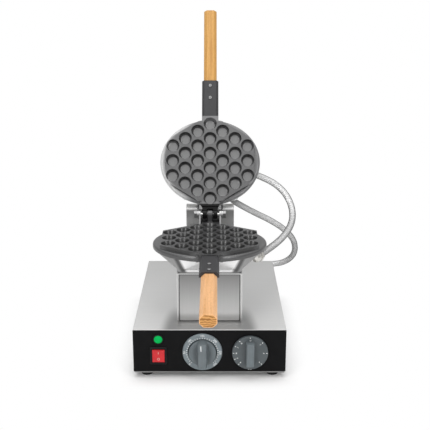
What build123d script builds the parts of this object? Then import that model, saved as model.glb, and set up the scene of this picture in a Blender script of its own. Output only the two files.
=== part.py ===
from build123d import *
import math
import os

# Bubble waffle maker: a stainless base box with a black fascia, a pedestal, a fixed lower pan and a
# hinged lid pan. Millimetres, +Z up, +X to the viewer's right, front towards -Y.
# The origin is on the worktop under the middle of the base box.

os.makedirs("parts", exist_ok=True)

# Driving sizes of the base box
base_width = 250.0
base_depth = 323.0
housing_height = 77.5
foot_height = 10.0
foot_radius = 11.0
foot_taper = 1.5
foot_inset_x = 20.5
foot_inset_y = 19.0
sheet = 1.5
bottom_sheet = 2.0
outer_bend = 2.5
return_flange = 11.0
panel_clearance = 0.25
panel_stud_inset = 17.5
vent_length = 40.0
vent_width = 4.5
vent_pitch = 8.25
rear_vent_count = 5
rear_vent_x = -12.0
rear_vent_low = 29.5
bottom_vent_count = 7
plate_screw_shares = (-0.25, 0.25)

# Driving sizes of the pedestal and the lid stop
pedestal_width = 107.0
pedestal_depth = 130.0
pedestal_height = 87.0
pedestal_sheet = 2.0
pedestal_bend = 3.0
pedestal_flange = 13.0
plate_inset = 4.0
plate_clearance = 1.4
stop_width = 87.0
stop_sheet = 2.0
stop_bend = 7.0
stop_foot_bend = 3.0
stop_flange = 18.0
stop_side_flange = 13.0
stop_front = 50.0
stop_height = 146.4
stop_screw_pitch = 26.0

# Driving sizes of the pans
pan_reach = 100.0
lower_half_width = 96.0
upper_half_width = 91.5
pan_half_length = 81.5
column_pitch = 22.85
row_pitch = 28.75
column_counts = (3, 4, 5, 6, 5, 4, 3)
cavity_radius = 12.0
cavity_floor_radius = 9.0
cavity_depth = 10.0
cavity_fillet = 2.6
mating_gap = 2.0
field_depth = 6.0
field_side_margin = 1.6
field_slant_margin = 4.5
field_rim_inset = 1.8
field_taper_degrees = 8.0
flange_depth = 9.0
flange_top_fillet = 4.0
flange_back_fillet = 1.5
pan_rim_wall = 6.0
pan_back_recess = 2.0
rib_width = 4.0
rib_height = 4.0
slot_width = 2.2

# Driving sizes of the lid hinge
hinge_offset = 29.5
hinge_height = 50.5
axis_height = 10.0
lean_degrees = 31.7
pin_radius = 3.5
pin_length = 57.0
knuckle_radius = 8.0
knuckle_flat_share = 0.7
arm_low_share = 0.6
web_end_share = 1.4
ear_profile_shares = (0.8, 0.6, 0.3, 0.95)
bumper_share = 0.6
centre_knuckle_half = 5.2
knuckle_gap = 0.5
lug_half_width = 13.3
lug_root_half = 18.0
lug_root_length = 26.0
ear_thickness = 2.8
ear_gap = 0.4
ear_radius = 7.5
lower_ear_inside = 17.0
running_clearance = 0.08
fixed_clearance = 0.05

# Driving sizes of the handles
neck_width = 30.6
neck_top = 6.0
grip_width = 24.3
grip_thickness = 19.2
grip_chamfer = 5.5
grip_top = 5.0
neck_length = 5.5
socket_length = 72.0
socket_wall = 3.1
socket_cap = 2.5
socket_depth = 9.0
grip_length = 149.0
tenon_length = 23.0
tongue_length = 48.0
tenon_clearance = 0.2
tongue_screw_inset = 37.0
grip_screw_inset = 61.5
handle_head_radius = 3.0
handle_head_height = 1.8

# Driving sizes of the covers and of what the pans hold
cover_sheet = 1.2
cover_rim_inset = 2.0
plinth_height = 5.0
plinth_corner = 10.0
heater_tube_radius = 4.0
heater_margin_x = 36.5
heater_margin_y = 33.5
heater_leg_spacing = 16.0
heater_leg_length = 24.0
clamp_plate_sheet = 2.0
clamp_ring_width = 12.0
standoff_radius = 5.5
standoff_x = 24.0
standoff_y = 30.0
bulb_radius = 3.0
bulb_length = 60.0

# Driving sizes of the controls, from the middle of the panel and from the worktop
switch_inset = 41.4
lamp_z = 70.0
lamp_radius = 7.0
lamp_bezel_radius = 8.6
lamp_barrel_radius = 6.0
lamp_barrel_length = 24.0
switch_z = 41.0
switch_width = 28.0
switch_height = 31.0
switch_bezel = 2.2
bezel_round_share = 0.4
bezel_edge_share = 0.3
lens_rise_share = 0.55
rocker_width = 20.6
rocker_height = 23.8
switch_body_depth = 22.0
rocker_travel_degrees = 12.0
rocker_pin_radius = 1.2
rocker_pin_reach = 0.7
rocker_low_share = 0.96
rocker_high_share = 0.9
rocker_root_share = 0.2
thermostat_x = -11.7
timer_x = 66.2
dial_z = 47.4
ring_radius = 32.6
ring_thickness = 3.0
thermostat_knob_radius = 23.2
thermostat_skirt = 7.0
thermostat_grip_height = 18.0
thermostat_grip_width = 14.6
timer_knob_radius = 29.4
timer_skirt = 5.0
timer_grip_height = 16.0
timer_grip_width = 13.4
timer_grip_length = 42.0
knob_panel_gap = 0.6
bar_round_share = 0.12
shaft_radius = 3.0
bush_radius = 5.0
bush_length = 4.0
control_body_width = 44.0
control_body_depth = 28.0
control_height_share = 0.75
shaft_bore_share = 0.6
bush_nut_radius = 7.5
bush_nut_height = 2.5

# Driving sizes of fasteners, glands and hoses
small_screw_radius = 2.0
small_head_radius = 3.6
small_head_height = 2.2
large_screw_radius = 3.0
head_round_share = 0.45
screw_bite_share = 0.4
nut_height_share = 0.8
nut_radius_share = 1.9
hose_diameter = 12.0
hose_bend_share = 0.45
gland_radius = 8.5
gland_nut_radius = 10.5
gland_nut_height = 6.0
gland_inner_nut_share = 0.6
gland_round_share = 0.4
gland_stub = 14.0
gland_inner = 8.0
gland_lip = 2.8
lid_side_through = 5.0
elbow_through = 11.0
mains_cable_radius = 4.25
mains_gland_x = -85.0
mains_gland_z = 42.0
hose_gland_x = 63.0
hose_gland_z = 55.0

# Driving sizes of the terminal block
terminal_length = 96.0
terminal_depth = 24.0
terminal_height = 19.2
terminal_floor = 7.2
terminal_pitch = 18.0
terminal_hole_radius = 2.8
terminal_count = 5

# How far a cutting shape runs past what it cuts
overrun = 1.0

# Places worked out from the driving sizes
half_width = base_width / 2
screw_hole = small_screw_radius + panel_clearance
cover_screw_hole = large_screw_radius + panel_clearance
lamp_x = -half_width + switch_inset
switch_x = lamp_x
half_depth = base_depth / 2
base_top = foot_height + housing_height
panel_bottom = foot_height + bottom_sheet
inner_half_width = half_width - sheet
inner_top = base_top - sheet
pedestal_top = base_top + pedestal_height
pedestal_y = hinge_offset - pan_reach
hinge_z = base_top + pedestal_height + hinge_height
surface_z = -mating_gap / 2
flange_top_z = surface_z - field_depth
pan_back = flange_top_z - flange_depth
pan_floor = pan_back + pan_back_recess
open_degrees = 90 + lean_degrees
mating_z = hinge_z - axis_height
cover_floor = pedestal_top - mating_z
pan_rim_y = -pan_reach + pan_half_length
bracket_screw_y = pan_rim_y - ear_thickness
bracket_screw_x = lug_root_half - small_head_radius
socket_start = pan_reach + pan_half_length + neck_length
socket_end = socket_start + socket_length
grip_end = socket_end + grip_length
handle_screw_places = (socket_start + tongue_screw_inset, socket_start + grip_screw_inset)
grip_top_z = -grip_top
socket_top_z = grip_top_z + socket_cap
panel_front = -half_depth
panel_back = panel_front + sheet
seat_front = panel_front - switch_bezel / 2
heater_half_width = upper_half_width - heater_margin_x
heater_half_length = pan_half_length - heater_margin_y
bracket_start = -pan_reach + pan_half_length - lug_root_length + ear_thickness


def lower_place(shape):
    """Moves a shape from the pan frame, mating plane at Z = 0 and hinge at Y = 0, to the lower pan."""
    return Pos(0, hinge_offset, mating_z) * shape


def lid_place(shape):
    """Turns a shape from the pan frame over to face the lower pan, then swings it open on the hinge."""
    flipped = Pos(0, 0, -axis_height) * mirror(shape, about=Plane.XY)
    return Pos(0, hinge_offset, hinge_z) * Rot(-open_degrees, 0, 0) * flipped


def block(x_low, x_high, y_low, y_high, z_low, z_high):
    """A box between two corners."""
    centre = ((x_low + x_high) / 2, (y_low + y_high) / 2, (z_low + z_high) / 2)
    return Pos(*centre) * Box(x_high - x_low, y_high - y_low, z_high - z_low)


def rod_x(radius, x_low, x_high, y, z):
    """A cylinder along X."""
    return Pos((x_low + x_high) / 2, y, z) * Rot(0, 90, 0) * Cylinder(radius, x_high - x_low)


def rod_y(radius, y_low, y_high, x, z):
    """A cylinder along Y."""
    return Pos(x, (y_low + y_high) / 2, z) * Rot(90, 0, 0) * Cylinder(radius, y_high - y_low)


def rod_z(radius, z_low, z_high, x, y):
    """A cylinder along Z."""
    return Pos(x, y, (z_low + z_high) / 2) * Cylinder(radius, z_high - z_low)


def screw_z(radius, length, x=0.0, y=0.0, z=0.0, head=small_head_radius, height=small_head_height):
    """A screw whose head stands up from Z and whose shank goes down."""
    cap = rod_z(head, z, z + height, x, y)
    cap = fillet(cap.edges().sort_by(Axis.Z)[-1], height * head_round_share)
    return cap + rod_z(radius, z - length, z, x, y)


def hex_nut(radius, hole, height):
    """A six-sided nut with its lower face at Z = 0."""
    body = extrude(RegularPolygon(radius, 6), height)
    return body - Cylinder(hole, height * 3)


def side_profile(points, x_low, x_high):
    """A flat outline in the YZ plane made solid between two X places."""
    outline = make_face(Polyline(*[(0, y, z) for y, z in points], close=True))
    return extrude(Pos(x_low, 0, 0) * outline, amount=x_high - x_low, dir=(1, 0, 0))


def save(name, shape):
    """Writes one named piece."""
    export_step(shape if isinstance(shape, (Solid, Compound)) else Compound(shape), f"parts/{name}.step")


# Base box
foot_places = [
    (side * (half_width - foot_inset_x), end * (half_depth - foot_inset_y))
    for side in (-1, 1)
    for end in (-1, 1)
]
pedestal_foot_x = pedestal_width / 2 - pedestal_sheet - pedestal_flange / 2
pedestal_foot_places = [
    (side * pedestal_foot_x, pedestal_y + end * pedestal_depth / 3)
    for side in (-1, 1)
    for end in (-1, 1)
]
stop_foot_y = stop_front + stop_flange - small_head_radius
stop_foot_places = [(column * stop_screw_pitch, stop_foot_y) for column in (-1, 0, 1)]
panel_stud_x = inner_half_width - return_flange / 2
panel_stud_places = [
    (side * panel_stud_x, z)
    for side in (-1, 1)
    for z in (panel_bottom + panel_stud_inset, inner_top - panel_stud_inset)
]
plate_screw_places = [
    (side * panel_stud_x, share * base_depth) for side in (-1, 1) for share in plate_screw_shares
]


def base_housing():
    """One folded sheet, top and two sides, with returns for the front, rear and bottom plates."""
    outer = block(-half_width, half_width, -half_depth, half_depth, foot_height, base_top)
    outer = fillet(outer.edges().filter_by(Axis.Y).sort_by(Axis.Z)[-2:], outer_bend)
    inner = block(
        -inner_half_width,
        inner_half_width,
        -half_depth - overrun,
        half_depth + overrun,
        foot_height - overrun,
        inner_top,
    )
    inner = fillet(inner.edges().filter_by(Axis.Y).sort_by(Axis.Z)[-2:], outer_bend - sheet)
    shell = outer - inner
    window_side = inner_half_width - return_flange
    for side in (-1, 1):
        far = side * (half_depth - sheet)
        near = side * (half_depth - 2 * sheet)
        ring = block(
            -inner_half_width, inner_half_width, min(far, near), max(far, near), panel_bottom, inner_top
        )
        ring -= block(
            -window_side,
            window_side,
            min(far, near) - overrun,
            max(far, near) + overrun,
            panel_bottom + return_flange,
            inner_top - return_flange,
        )
        shell += ring
        shell += block(
            min(side * inner_half_width, side * window_side),
            max(side * inner_half_width, side * window_side),
            -half_depth + 2 * sheet,
            half_depth - 2 * sheet,
            panel_bottom,
            panel_bottom + sheet,
        )
    shell -= block(
        -half_width - overrun,
        half_width + overrun,
        -half_depth - overrun,
        panel_back,
        panel_bottom,
        inner_top,
    )
    for x, z in panel_stud_places:
        shell -= rod_y(screw_hole, -half_depth, half_depth, x, z)
    shell -= rod_y(lamp_barrel_radius + sheet, -half_depth, -half_depth + 3 * sheet, lamp_x, lamp_z)
    for x, y in plate_screw_places:
        shell -= rod_z(screw_hole, foot_height, panel_bottom + 2 * sheet, x, y)
    for x, y in pedestal_foot_places + stop_foot_places:
        shell -= rod_z(screw_hole, inner_top - overrun, base_top + overrun, x, y)
    shell -= rod_z(pedestal_width / 6, inner_top - overrun, base_top + overrun, 0, pedestal_y)
    return shell


def front_panel():
    """Flat fascia over the whole front, with its control holes and four studs on its back."""
    low = panel_bottom + panel_clearance
    high = inner_top - panel_clearance
    plate = block(-half_width, half_width, panel_front, panel_back, low, high)
    plate = fillet(plate.edges().filter_by(Axis.Y).sort_by(Axis.Z)[-2:], outer_bend - sheet)
    plate -= rod_y(
        lamp_barrel_radius + panel_clearance, panel_front - overrun, panel_back + overrun, lamp_x, lamp_z
    )
    body_x = (rocker_width + switch_bezel) / 2 + panel_clearance
    body_z = (rocker_height + switch_bezel) / 2 + panel_clearance
    plate -= block(
        switch_x - body_x,
        switch_x + body_x,
        panel_front - overrun,
        panel_back + overrun,
        switch_z - body_z,
        switch_z + body_z,
    )
    for x in (thermostat_x, timer_x):
        plate -= rod_y(bush_radius + panel_clearance, panel_front - overrun, panel_back + overrun, x, dial_z)
    for x, z in panel_stud_places:
        plate += rod_y(small_screw_radius, panel_back, panel_back + 6 * sheet, x, z)
    return plate


def rear_panel():
    """Rear closing plate with vent slots and the two gland holes."""
    reach = inner_half_width - panel_clearance
    low = half_depth - sheet
    plate = block(-reach, reach, low, half_depth, panel_bottom + panel_clearance, inner_top - panel_clearance)
    plate = chamfer(plate.edges().filter_by(Axis.Y).sort_by(Axis.Z)[-2:], sheet)
    for x, z in panel_stud_places:
        plate -= rod_y(screw_hole, low - overrun, half_depth + overrun, x, z)
    for x, z in ((mains_gland_x, mains_gland_z), (hose_gland_x, hose_gland_z)):
        plate -= rod_y(gland_radius + panel_clearance, low - overrun, half_depth + overrun, x, z)
    slot = extrude(Plane.XZ * SlotOverall(vent_length, vent_width), base_depth, both=True)
    slot &= block(-half_width, half_width, low - overrun, half_depth + overrun, -base_top, base_top)
    for row in range(rear_vent_count):
        plate -= Pos(rear_vent_x, 0, rear_vent_low + row * vent_pitch) * slot
    return plate


def bottom_plate():
    """Bottom plate with vent slots; its front edge shows as a strip under the fascia."""
    reach = inner_half_width - panel_clearance
    plate = block(-reach, reach, -half_depth, half_depth, foot_height, panel_bottom)
    for x, y in foot_places + plate_screw_places:
        plate -= rod_z(screw_hole, foot_height - overrun, panel_bottom + overrun, x, y)
    slot = extrude(Rot(0, 0, 90) * SlotOverall(vent_length, vent_width), 3 * panel_bottom, both=True)
    middle = (bottom_vent_count - 1) / 2
    for column in range(bottom_vent_count):
        for end in (-1, 1):
            x = (column - middle) * 2 * vent_pitch
            plate -= Pos(x, end * base_depth / 5, 0) * slot
    return plate


foot_recess = foot_height / 2


def rubber_foot(x, y):
    """A tapered foot with a recess for its screw head."""
    upright = (Align.CENTER, Align.CENTER, Align.MIN)
    foot = Cone(foot_radius - foot_taper, foot_radius, foot_height, align=upright)
    foot = fillet(foot.edges().sort_by(Axis.Z)[0], foot_taper)
    foot -= rod_z(small_head_radius + foot_taper, -overrun, foot_recess, 0, 0)
    foot -= rod_z(screw_hole, 0, foot_height + overrun, 0, 0)
    return Pos(x, y, 0) * foot


def foot_screw(x, y):
    """A pan screw from below through the foot and the bottom plate."""
    length = foot_height - foot_recess + bottom_sheet + 3 * small_screw_radius
    screw = Rot(180, 0, 0) * screw_z(small_screw_radius, length)
    return Pos(x, y, foot_recess) * screw


def small_nut(x, y, z):
    """A nut on a small screw, with its lower face at Z."""
    height = 2 * small_screw_radius * nut_height_share
    nut = hex_nut(2 * small_screw_radius, small_screw_radius + fixed_clearance, height)
    return Pos(x, y, z) * nut


save("base_housing", base_housing())
save("front_panel", front_panel())
save("rear_panel", rear_panel())
save("bottom_plate", bottom_plate())
save("rubber_feet", [rubber_foot(x, y) for x, y in foot_places])
save("foot_screws", [foot_screw(x, y) for x, y in foot_places])
panel_nut = Rot(-90, 0, 0) * small_nut(0, 0, 0)
base_nuts = [small_nut(x, y, panel_bottom) for x, y in foot_places]
base_nuts += [Pos(x, -half_depth + 2 * sheet, z) * panel_nut for x, z in panel_stud_places]
save("base_nuts", base_nuts)
rear_screw = Rot(-90, 0, 0) * screw_z(small_screw_radius, 5 * sheet)
plate_screw = Rot(180, 0, 0) * screw_z(small_screw_radius, 5 * sheet)
plate_screws = [Pos(x, half_depth, z) * rear_screw for x, z in panel_stud_places]
plate_screws += [Pos(x, y, foot_height) * plate_screw for x, y in plate_screw_places]
save("plate_screws", plate_screws)


# Pedestal
def pedestal_frame():
    """Folded channel with returns at front and rear, and foot flanges turned in."""
    side = pedestal_width / 2
    end = pedestal_depth / 2
    wall = pedestal_sheet
    outer = block(-side, side, -end, end, 0, pedestal_height)
    outer = fillet(outer.edges().filter_by(Axis.Y).sort_by(Axis.Z)[-2:], pedestal_bend)
    inner = block(
        -side + wall, side - wall, -end - overrun, end + overrun, -overrun, pedestal_height - wall
    )
    inner = fillet(inner.edges().filter_by(Axis.Y).sort_by(Axis.Z)[-2:], pedestal_bend - wall)
    frame = outer - inner
    for turn in (-1, 1):
        far = turn * (end - plate_inset - wall)
        near = turn * (end - plate_inset - 2 * wall)
        ring = block(-side + wall, side - wall, min(far, near), max(far, near), 0, pedestal_height - wall)
        ring -= block(
            -side + pedestal_flange,
            side - pedestal_flange,
            min(far, near) - overrun,
            max(far, near) + overrun,
            pedestal_flange,
            pedestal_height - pedestal_flange,
        )
        frame += ring
        frame += block(
            min(turn * (side - wall), turn * (side - wall - pedestal_flange)),
            max(turn * (side - wall), turn * (side - wall - pedestal_flange)),
            -end + plate_inset + 2 * wall,
            end - plate_inset - 2 * wall,
            0,
            wall,
        )
    frame -= rod_z(pedestal_width / 8, pedestal_height - 2 * wall, pedestal_height + overrun, 0, 0)
    for x in (-standoff_x, standoff_x):
        for y in (-standoff_y, standoff_y):
            frame -= rod_z(cover_screw_hole, pedestal_height - 2 * wall, pedestal_height + overrun, x, y)
    frame = Pos(0, pedestal_y, base_top) * frame
    for x, y in pedestal_foot_places:
        frame -= rod_z(screw_hole, base_top - overrun, base_top + 2 * wall, x, y)
    return frame


def pedestal_plate(turn):
    """Flat plate set back inside the pedestal's front (-1) or rear (1) opening."""
    side = pedestal_width / 2 - pedestal_sheet - plate_clearance
    end = pedestal_depth / 2 - plate_inset
    faces = sorted((turn * end, turn * (end - pedestal_sheet)))
    top = pedestal_height - pedestal_sheet - plate_clearance
    return Pos(0, pedestal_y, base_top) * block(-side, side, faces[0], faces[1], plate_clearance, top)


def lid_stop():
    """Upright channel behind the hinge: foot flange, front plate, side flanges and a rolled top."""
    half = stop_width / 2
    middle = stop_front + stop_sheet / 2
    top = base_top + stop_height - stop_sheet / 2
    path = FilletPolyline(
        (stop_front + stop_flange + stop_sheet, base_top + stop_sheet / 2),
        (middle, base_top + stop_sheet / 2),
        (middle, top),
        (middle + stop_flange, top),
        radius=[stop_foot_bend, stop_bend],
    )
    profile = trace(path, line_width=stop_sheet)
    profile = Plane.YZ * profile
    stop = extrude(profile, amount=half, both=True, dir=(1, 0, 0))
    for side in (-1, 1):
        edges = sorted((side * half, side * (half - stop_sheet)))
        stop += block(
            edges[0],
            edges[1],
            stop_front + stop_sheet,
            stop_front + stop_side_flange,
            base_top + 2 * stop_sheet,
            base_top + stop_height - stop_sheet,
        )
    for x, y in stop_foot_places:
        stop -= rod_z(screw_hole, base_top - overrun, base_top + 2 * stop_sheet, x, y)
    return stop


save("pedestal_frame", pedestal_frame())
save("pedestal_front_plate", pedestal_plate(-1))
save("pedestal_rear_plate", pedestal_plate(1))
save("lid_stop", lid_stop())


def flange_screws(places, z):
    """Screws that hold a foot flange on the base's top sheet."""
    return [screw_z(small_screw_radius, 6 * sheet, x, y, z) for x, y in places]


save("pedestal_screws", flange_screws(pedestal_foot_places, base_top + pedestal_sheet))
save("lid_stop_screws", flange_screws(stop_foot_places, base_top + stop_sheet))


# Pans, in the pan frame: mating plane at Z = 0, hinge at Y = 0, handle towards -Y
def cavity_places():
    """Centres of the cavities: seven columns, every second one shifted by half a row."""
    places = []
    middle = (len(column_counts) - 1) / 2
    for column, count in enumerate(column_counts):
        for row in range(count):
            x = (column - middle) * column_pitch
            y = -pan_reach + (row - (count - 1) / 2) * row_pitch
            places.append((x, y))
    return places


def cavity_cutter():
    """The space of one cavity: a cone with a rounded bottom edge."""
    rise = overrun
    slope = (cavity_radius - cavity_floor_radius) / cavity_depth
    cutter = Cone(
        cavity_floor_radius,
        cavity_radius + slope * rise,
        cavity_depth + rise,
        align=(Align.CENTER, Align.CENTER, Align.MIN),
    )
    cutter = fillet(cutter.edges().sort_by(Axis.Z)[0], cavity_fillet)
    return Pos(0, 0, surface_z - cavity_depth) * cutter


def field_outline():
    """Six-sided field round the cavities: half width, corner and cut-off apex from the cavity pattern."""
    middle = (len(column_counts) - 1) / 2
    rows = (max(column_counts) - 1) / 2 * row_pitch
    across = column_pitch
    down = row_pitch / 2
    length = math.hypot(across, down)
    offset = (cavity_radius + field_slant_margin) * length / across
    half = middle * column_pitch + cavity_radius + field_side_margin
    apex = rows + offset
    corner = apex - half * down / across
    return half, corner, apex


def ellipse_prism(half_x, half_y, z_low, z_high):
    """An upright oval about the middle of the cavity pattern."""
    return Pos(0, -pan_reach, z_low) * extrude(Ellipse(half_x, half_y), z_high - z_low)


def bracket_screw_holes():
    """Two holes through a hinge bracket's web and into the casting."""
    low = pan_back - 2 * ear_thickness
    high = pan_back + 2 * ear_thickness
    hole = small_screw_radius + fixed_clearance
    return [rod_z(hole, low, high, side * bracket_screw_x, bracket_screw_y) for side in (-1, 1)]


def cast_body(half_width_at_rim):
    """Oval flange, raised field, bosses round the two end cavities and neck, before the hinge lug."""
    rim_x = half_width_at_rim
    flange = ellipse_prism(rim_x, pan_half_length, pan_back, flange_top_z)
    flange = fillet(flange.edges().sort_by(Axis.Z)[-1], flange_top_fillet)
    flange = fillet(flange.edges().sort_by(Axis.Z)[0], flange_back_fillet)
    flange -= ellipse_prism(
        rim_x - pan_rim_wall, pan_half_length - pan_rim_wall, pan_back - overrun, pan_floor
    )
    half, corner, apex = field_outline()
    hexagon = Polygon(
        (half, corner), (0, apex), (-half, corner), (-half, -corner), (0, -apex), (half, -corner), align=None
    )
    inset_oval = Ellipse(rim_x - field_rim_inset, pan_half_length - field_rim_inset)
    outline = hexagon & inset_oval
    field = extrude(outline, field_depth, taper=field_taper_degrees)
    field = Pos(0, -pan_reach, flange_top_z) * field
    body = flange + field
    boss_end = pan_reach + apex - field_slant_margin
    rim_wall_y = -pan_reach - pan_half_length + pan_rim_wall
    boss = block(
        -neck_width / 2, neck_width / 2, -boss_end, -pan_reach - pan_half_length / 2, pan_floor, surface_z
    )
    rear_boss = block(
        -neck_width / 2,
        neck_width / 2,
        -pan_reach + pan_half_length / 2,
        -pan_reach + apex - field_slant_margin,
        pan_floor,
        surface_z,
    )
    neck = block(-neck_width / 2, neck_width / 2, -socket_start, rim_wall_y, pan_back, -neck_top)
    return body + boss + rear_boss + neck


def octagon(width, thickness, chamfer_size):
    """Rectangle with its four corners cut off."""
    return chamfer(Rectangle(width, thickness).vertices(), chamfer_size)


def along_handle(face, start, length):
    """Carries a face in the XZ plane along -Y from a place on the handle."""
    centre = grip_top_z - grip_thickness / 2
    return extrude(Pos(0, -start, centre) * (Plane.XZ * face), amount=length, dir=(0, -1, 0))


def handle_tongue():
    """End block that closes on the handle socket, and the tongue that enters it."""
    low = grip_top_z - grip_thickness
    face = block(
        -neck_width / 2, neck_width / 2, -socket_start, -socket_start + 2 * socket_wall, low, socket_top_z
    )
    section = octagon(grip_width - tenon_clearance, grip_thickness - tenon_clearance, grip_chamfer)
    tongue = along_handle(section, socket_start, tongue_length)
    tongue -= rod_z(small_screw_radius + fixed_clearance, low - overrun, overrun, 0, -handle_screw_places[0])
    return face + tongue


def knuckle_bore(x_reach, axis_z, clearance):
    """The pin's hole through a casting."""
    return rod_x(pin_radius + clearance, -x_reach, x_reach, 0, axis_z)


def knuckle_clearance(x_low, x_high, axis_z):
    """Space that the other pan's knuckles turn in."""
    return rod_x(knuckle_radius + 2 * knuckle_gap, x_low, x_high, 0, axis_z)


def lug_plate(rear, thickness_low, thickness_high):
    """Flat lug that narrows from the pan's rim to the knuckles."""
    root = pan_rim_y
    outline = make_face(
        Polyline(
            (-lug_root_half, root - lug_root_length),
            (-lug_root_half, root),
            (-lug_half_width, root / 2),
            (-lug_half_width, rear),
            (lug_half_width, rear),
            (lug_half_width, root / 2),
            (lug_root_half, root),
            (lug_root_half, root - lug_root_length),
            close=True,
        )
    )
    return Pos(0, 0, thickness_low) * extrude(outline, thickness_high - thickness_low)


def lower_pan():
    """Fixed casting: one middle knuckle on an arm that rises to the hinge axis, ribs beside the neck."""
    body = cast_body(lower_half_width) + handle_tongue()
    lug_top = surface_z - mating_gap
    lug = lug_plate(knuckle_radius * knuckle_flat_share, pan_back, lug_top)
    arm_half = centre_knuckle_half
    arm = side_profile(
        [
            (-knuckle_radius * 2, lug_top - overrun),
            (-knuckle_radius, lug_top + mating_gap),
            (-knuckle_radius, axis_height),
            (knuckle_radius, axis_height),
            (knuckle_radius * knuckle_flat_share, lug_top - overrun),
        ],
        -arm_half,
        arm_half,
    )
    knuckle = rod_x(knuckle_radius, -arm_half, arm_half, 0, axis_height)
    body += lug + arm + knuckle
    for side in (-1, 1):
        ends = sorted((side * (arm_half + knuckle_gap / 2), side * (lug_half_width + 2 * ear_thickness)))
        body -= knuckle_clearance(ends[0], ends[1], axis_height)
    body -= knuckle_bore(lug_half_width, axis_height, fixed_clearance)
    rib_in = neck_width / 2 + slot_width
    rim_front = -pan_reach - pan_half_length
    rib_top = flange_top_z + rib_height / 2
    for side in (-1, 1):
        ends = sorted((side * rib_in, side * (rib_in + rib_width)))
        body += block(ends[0], ends[1], rim_front + overrun, rim_front + 3 * rib_width, pan_back, rib_top)
        ends = sorted((side * neck_width / 2, side * rib_in))
        body -= block(
            ends[0], ends[1], rim_front - overrun, rim_front + pan_rim_wall / 2, pan_back - overrun, overrun
        )
    return body


def upper_pan():
    """Lid casting, drawn facing up: two outer knuckles on the hinge axis below its face."""
    body = cast_body(upper_half_width) + handle_tongue()
    axis = -axis_height
    flat = knuckle_radius * knuckle_flat_share
    arm_low = axis - knuckle_radius * arm_low_share
    lug = lug_plate(-flat, pan_back, axis + knuckle_radius - mating_gap)
    body += lug
    for side in (-1, 1):
        ends = sorted((side * (centre_knuckle_half + knuckle_gap), side * lug_half_width))
        knuckle = rod_x(knuckle_radius, ends[0], ends[1], 0, axis)
        arm = block(ends[0], ends[1], -knuckle_radius * 2, 0, arm_low, axis + flat)
        body += knuckle + arm
    centre = centre_knuckle_half + knuckle_gap
    body -= knuckle_clearance(-centre, centre, axis)
    body -= block(-centre, centre, -knuckle_radius - 2 * knuckle_gap, 0, axis, surface_z)
    body -= knuckle_bore(lug_half_width + overrun, axis, running_clearance)
    return body


def cut_cavities(body):
    """Takes the cavities out of a casting."""
    cutter = cavity_cutter()
    return body - [Pos(x, y, 0) * cutter for x, y in cavity_places()] - bracket_screw_holes()


lower_casting = cut_cavities(lower_pan())
upper_casting = cut_cavities(upper_pan())
save("lower_pan", lower_place(lower_casting))
save("upper_pan", lid_place(upper_casting))


# Covers
def oval_wire(half_x, half_y):
    """An oval of eight arcs that pairs with the eight edges of a rounded rectangle."""
    side_turn = 14
    corner_turn = 90 - side_turn
    arcs = []
    for quarter in range(4):
        first = quarter * 90 - side_turn / 2
        arcs.append(EllipticalCenterArc((0, 0), half_x, half_y, start_angle=first, arc_size=side_turn))
        corner = first + side_turn
        arcs.append(EllipticalCenterArc((0, 0), half_x, half_y, start_angle=corner, arc_size=corner_turn))
    return Wire(arcs)


def cover_solid(rim_x, inset, floor):
    """Oval at the pan's rim drawn down to the pedestal's rectangle, with a straight plinth."""
    rim_y = pan_half_length - cover_rim_inset - inset
    top = make_face(oval_wire(rim_x - cover_rim_inset - inset, rim_y))
    plinth = RectangleRounded(pedestal_width - 2 * inset, pedestal_depth - 2 * inset, plinth_corner - inset)
    plinth_top = cover_floor + plinth_height
    bowl = loft([Pos(0, 0, plinth_top) * plinth, Pos(0, 0, pan_back) * top], ruled=True)
    base = Pos(0, 0, floor) * extrude(plinth, plinth_top - floor)
    return Pos(0, -pan_reach, 0) * (bowl + base)


def cover_shell(rim_x):
    """Thin pressed cover: the outer shape less the same shape drawn in by its sheet."""
    outer = cover_solid(rim_x, 0, cover_floor)
    inner = cover_solid(rim_x, cover_sheet, cover_floor + cover_sheet)
    inner += ellipse_prism(
        rim_x - cover_rim_inset - cover_sheet,
        pan_half_length - cover_rim_inset - cover_sheet,
        pan_back - overrun / 10,
        pan_back + overrun,
    )
    return outer, outer - inner


def standoff_places():
    """Four pillars between a pan's back and its cover's floor."""
    return [(x, -pan_reach + y) for x in (-standoff_x, standoff_x) for y in (-standoff_y, standoff_y)]


def bracket_notch():
    """Room in the cover's rim for the hinge bracket."""
    reach = lower_ear_inside + 2 * ear_thickness + ear_gap + 2 * knuckle_gap
    depth = pan_back - 2 * ear_thickness
    return block(-reach, reach, -pan_reach + pan_half_length / 2, 0, depth, pan_back + overrun)


lower_cover_outer, lower_cover_shell = cover_shell(lower_half_width)
upper_cover_outer, upper_cover_shell = cover_shell(upper_half_width)
floor_holes = [
    rod_z(cover_screw_hole, cover_floor - overrun, cover_floor + 3 * cover_sheet, x, y)
    for x, y in standoff_places()
]
wire_hole = rod_z(pedestal_width / 10, cover_floor - overrun, cover_floor + 3 * cover_sheet, 0, -pan_reach)


def hose_end(route, last):
    """The mouth of a hose's gland and the direction in which the hose leaves it."""
    points = [Vector(*p) for p in route]
    if last:
        points = points[::-1]
    return points[0], (points[1] - points[0]).normalized()


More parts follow.
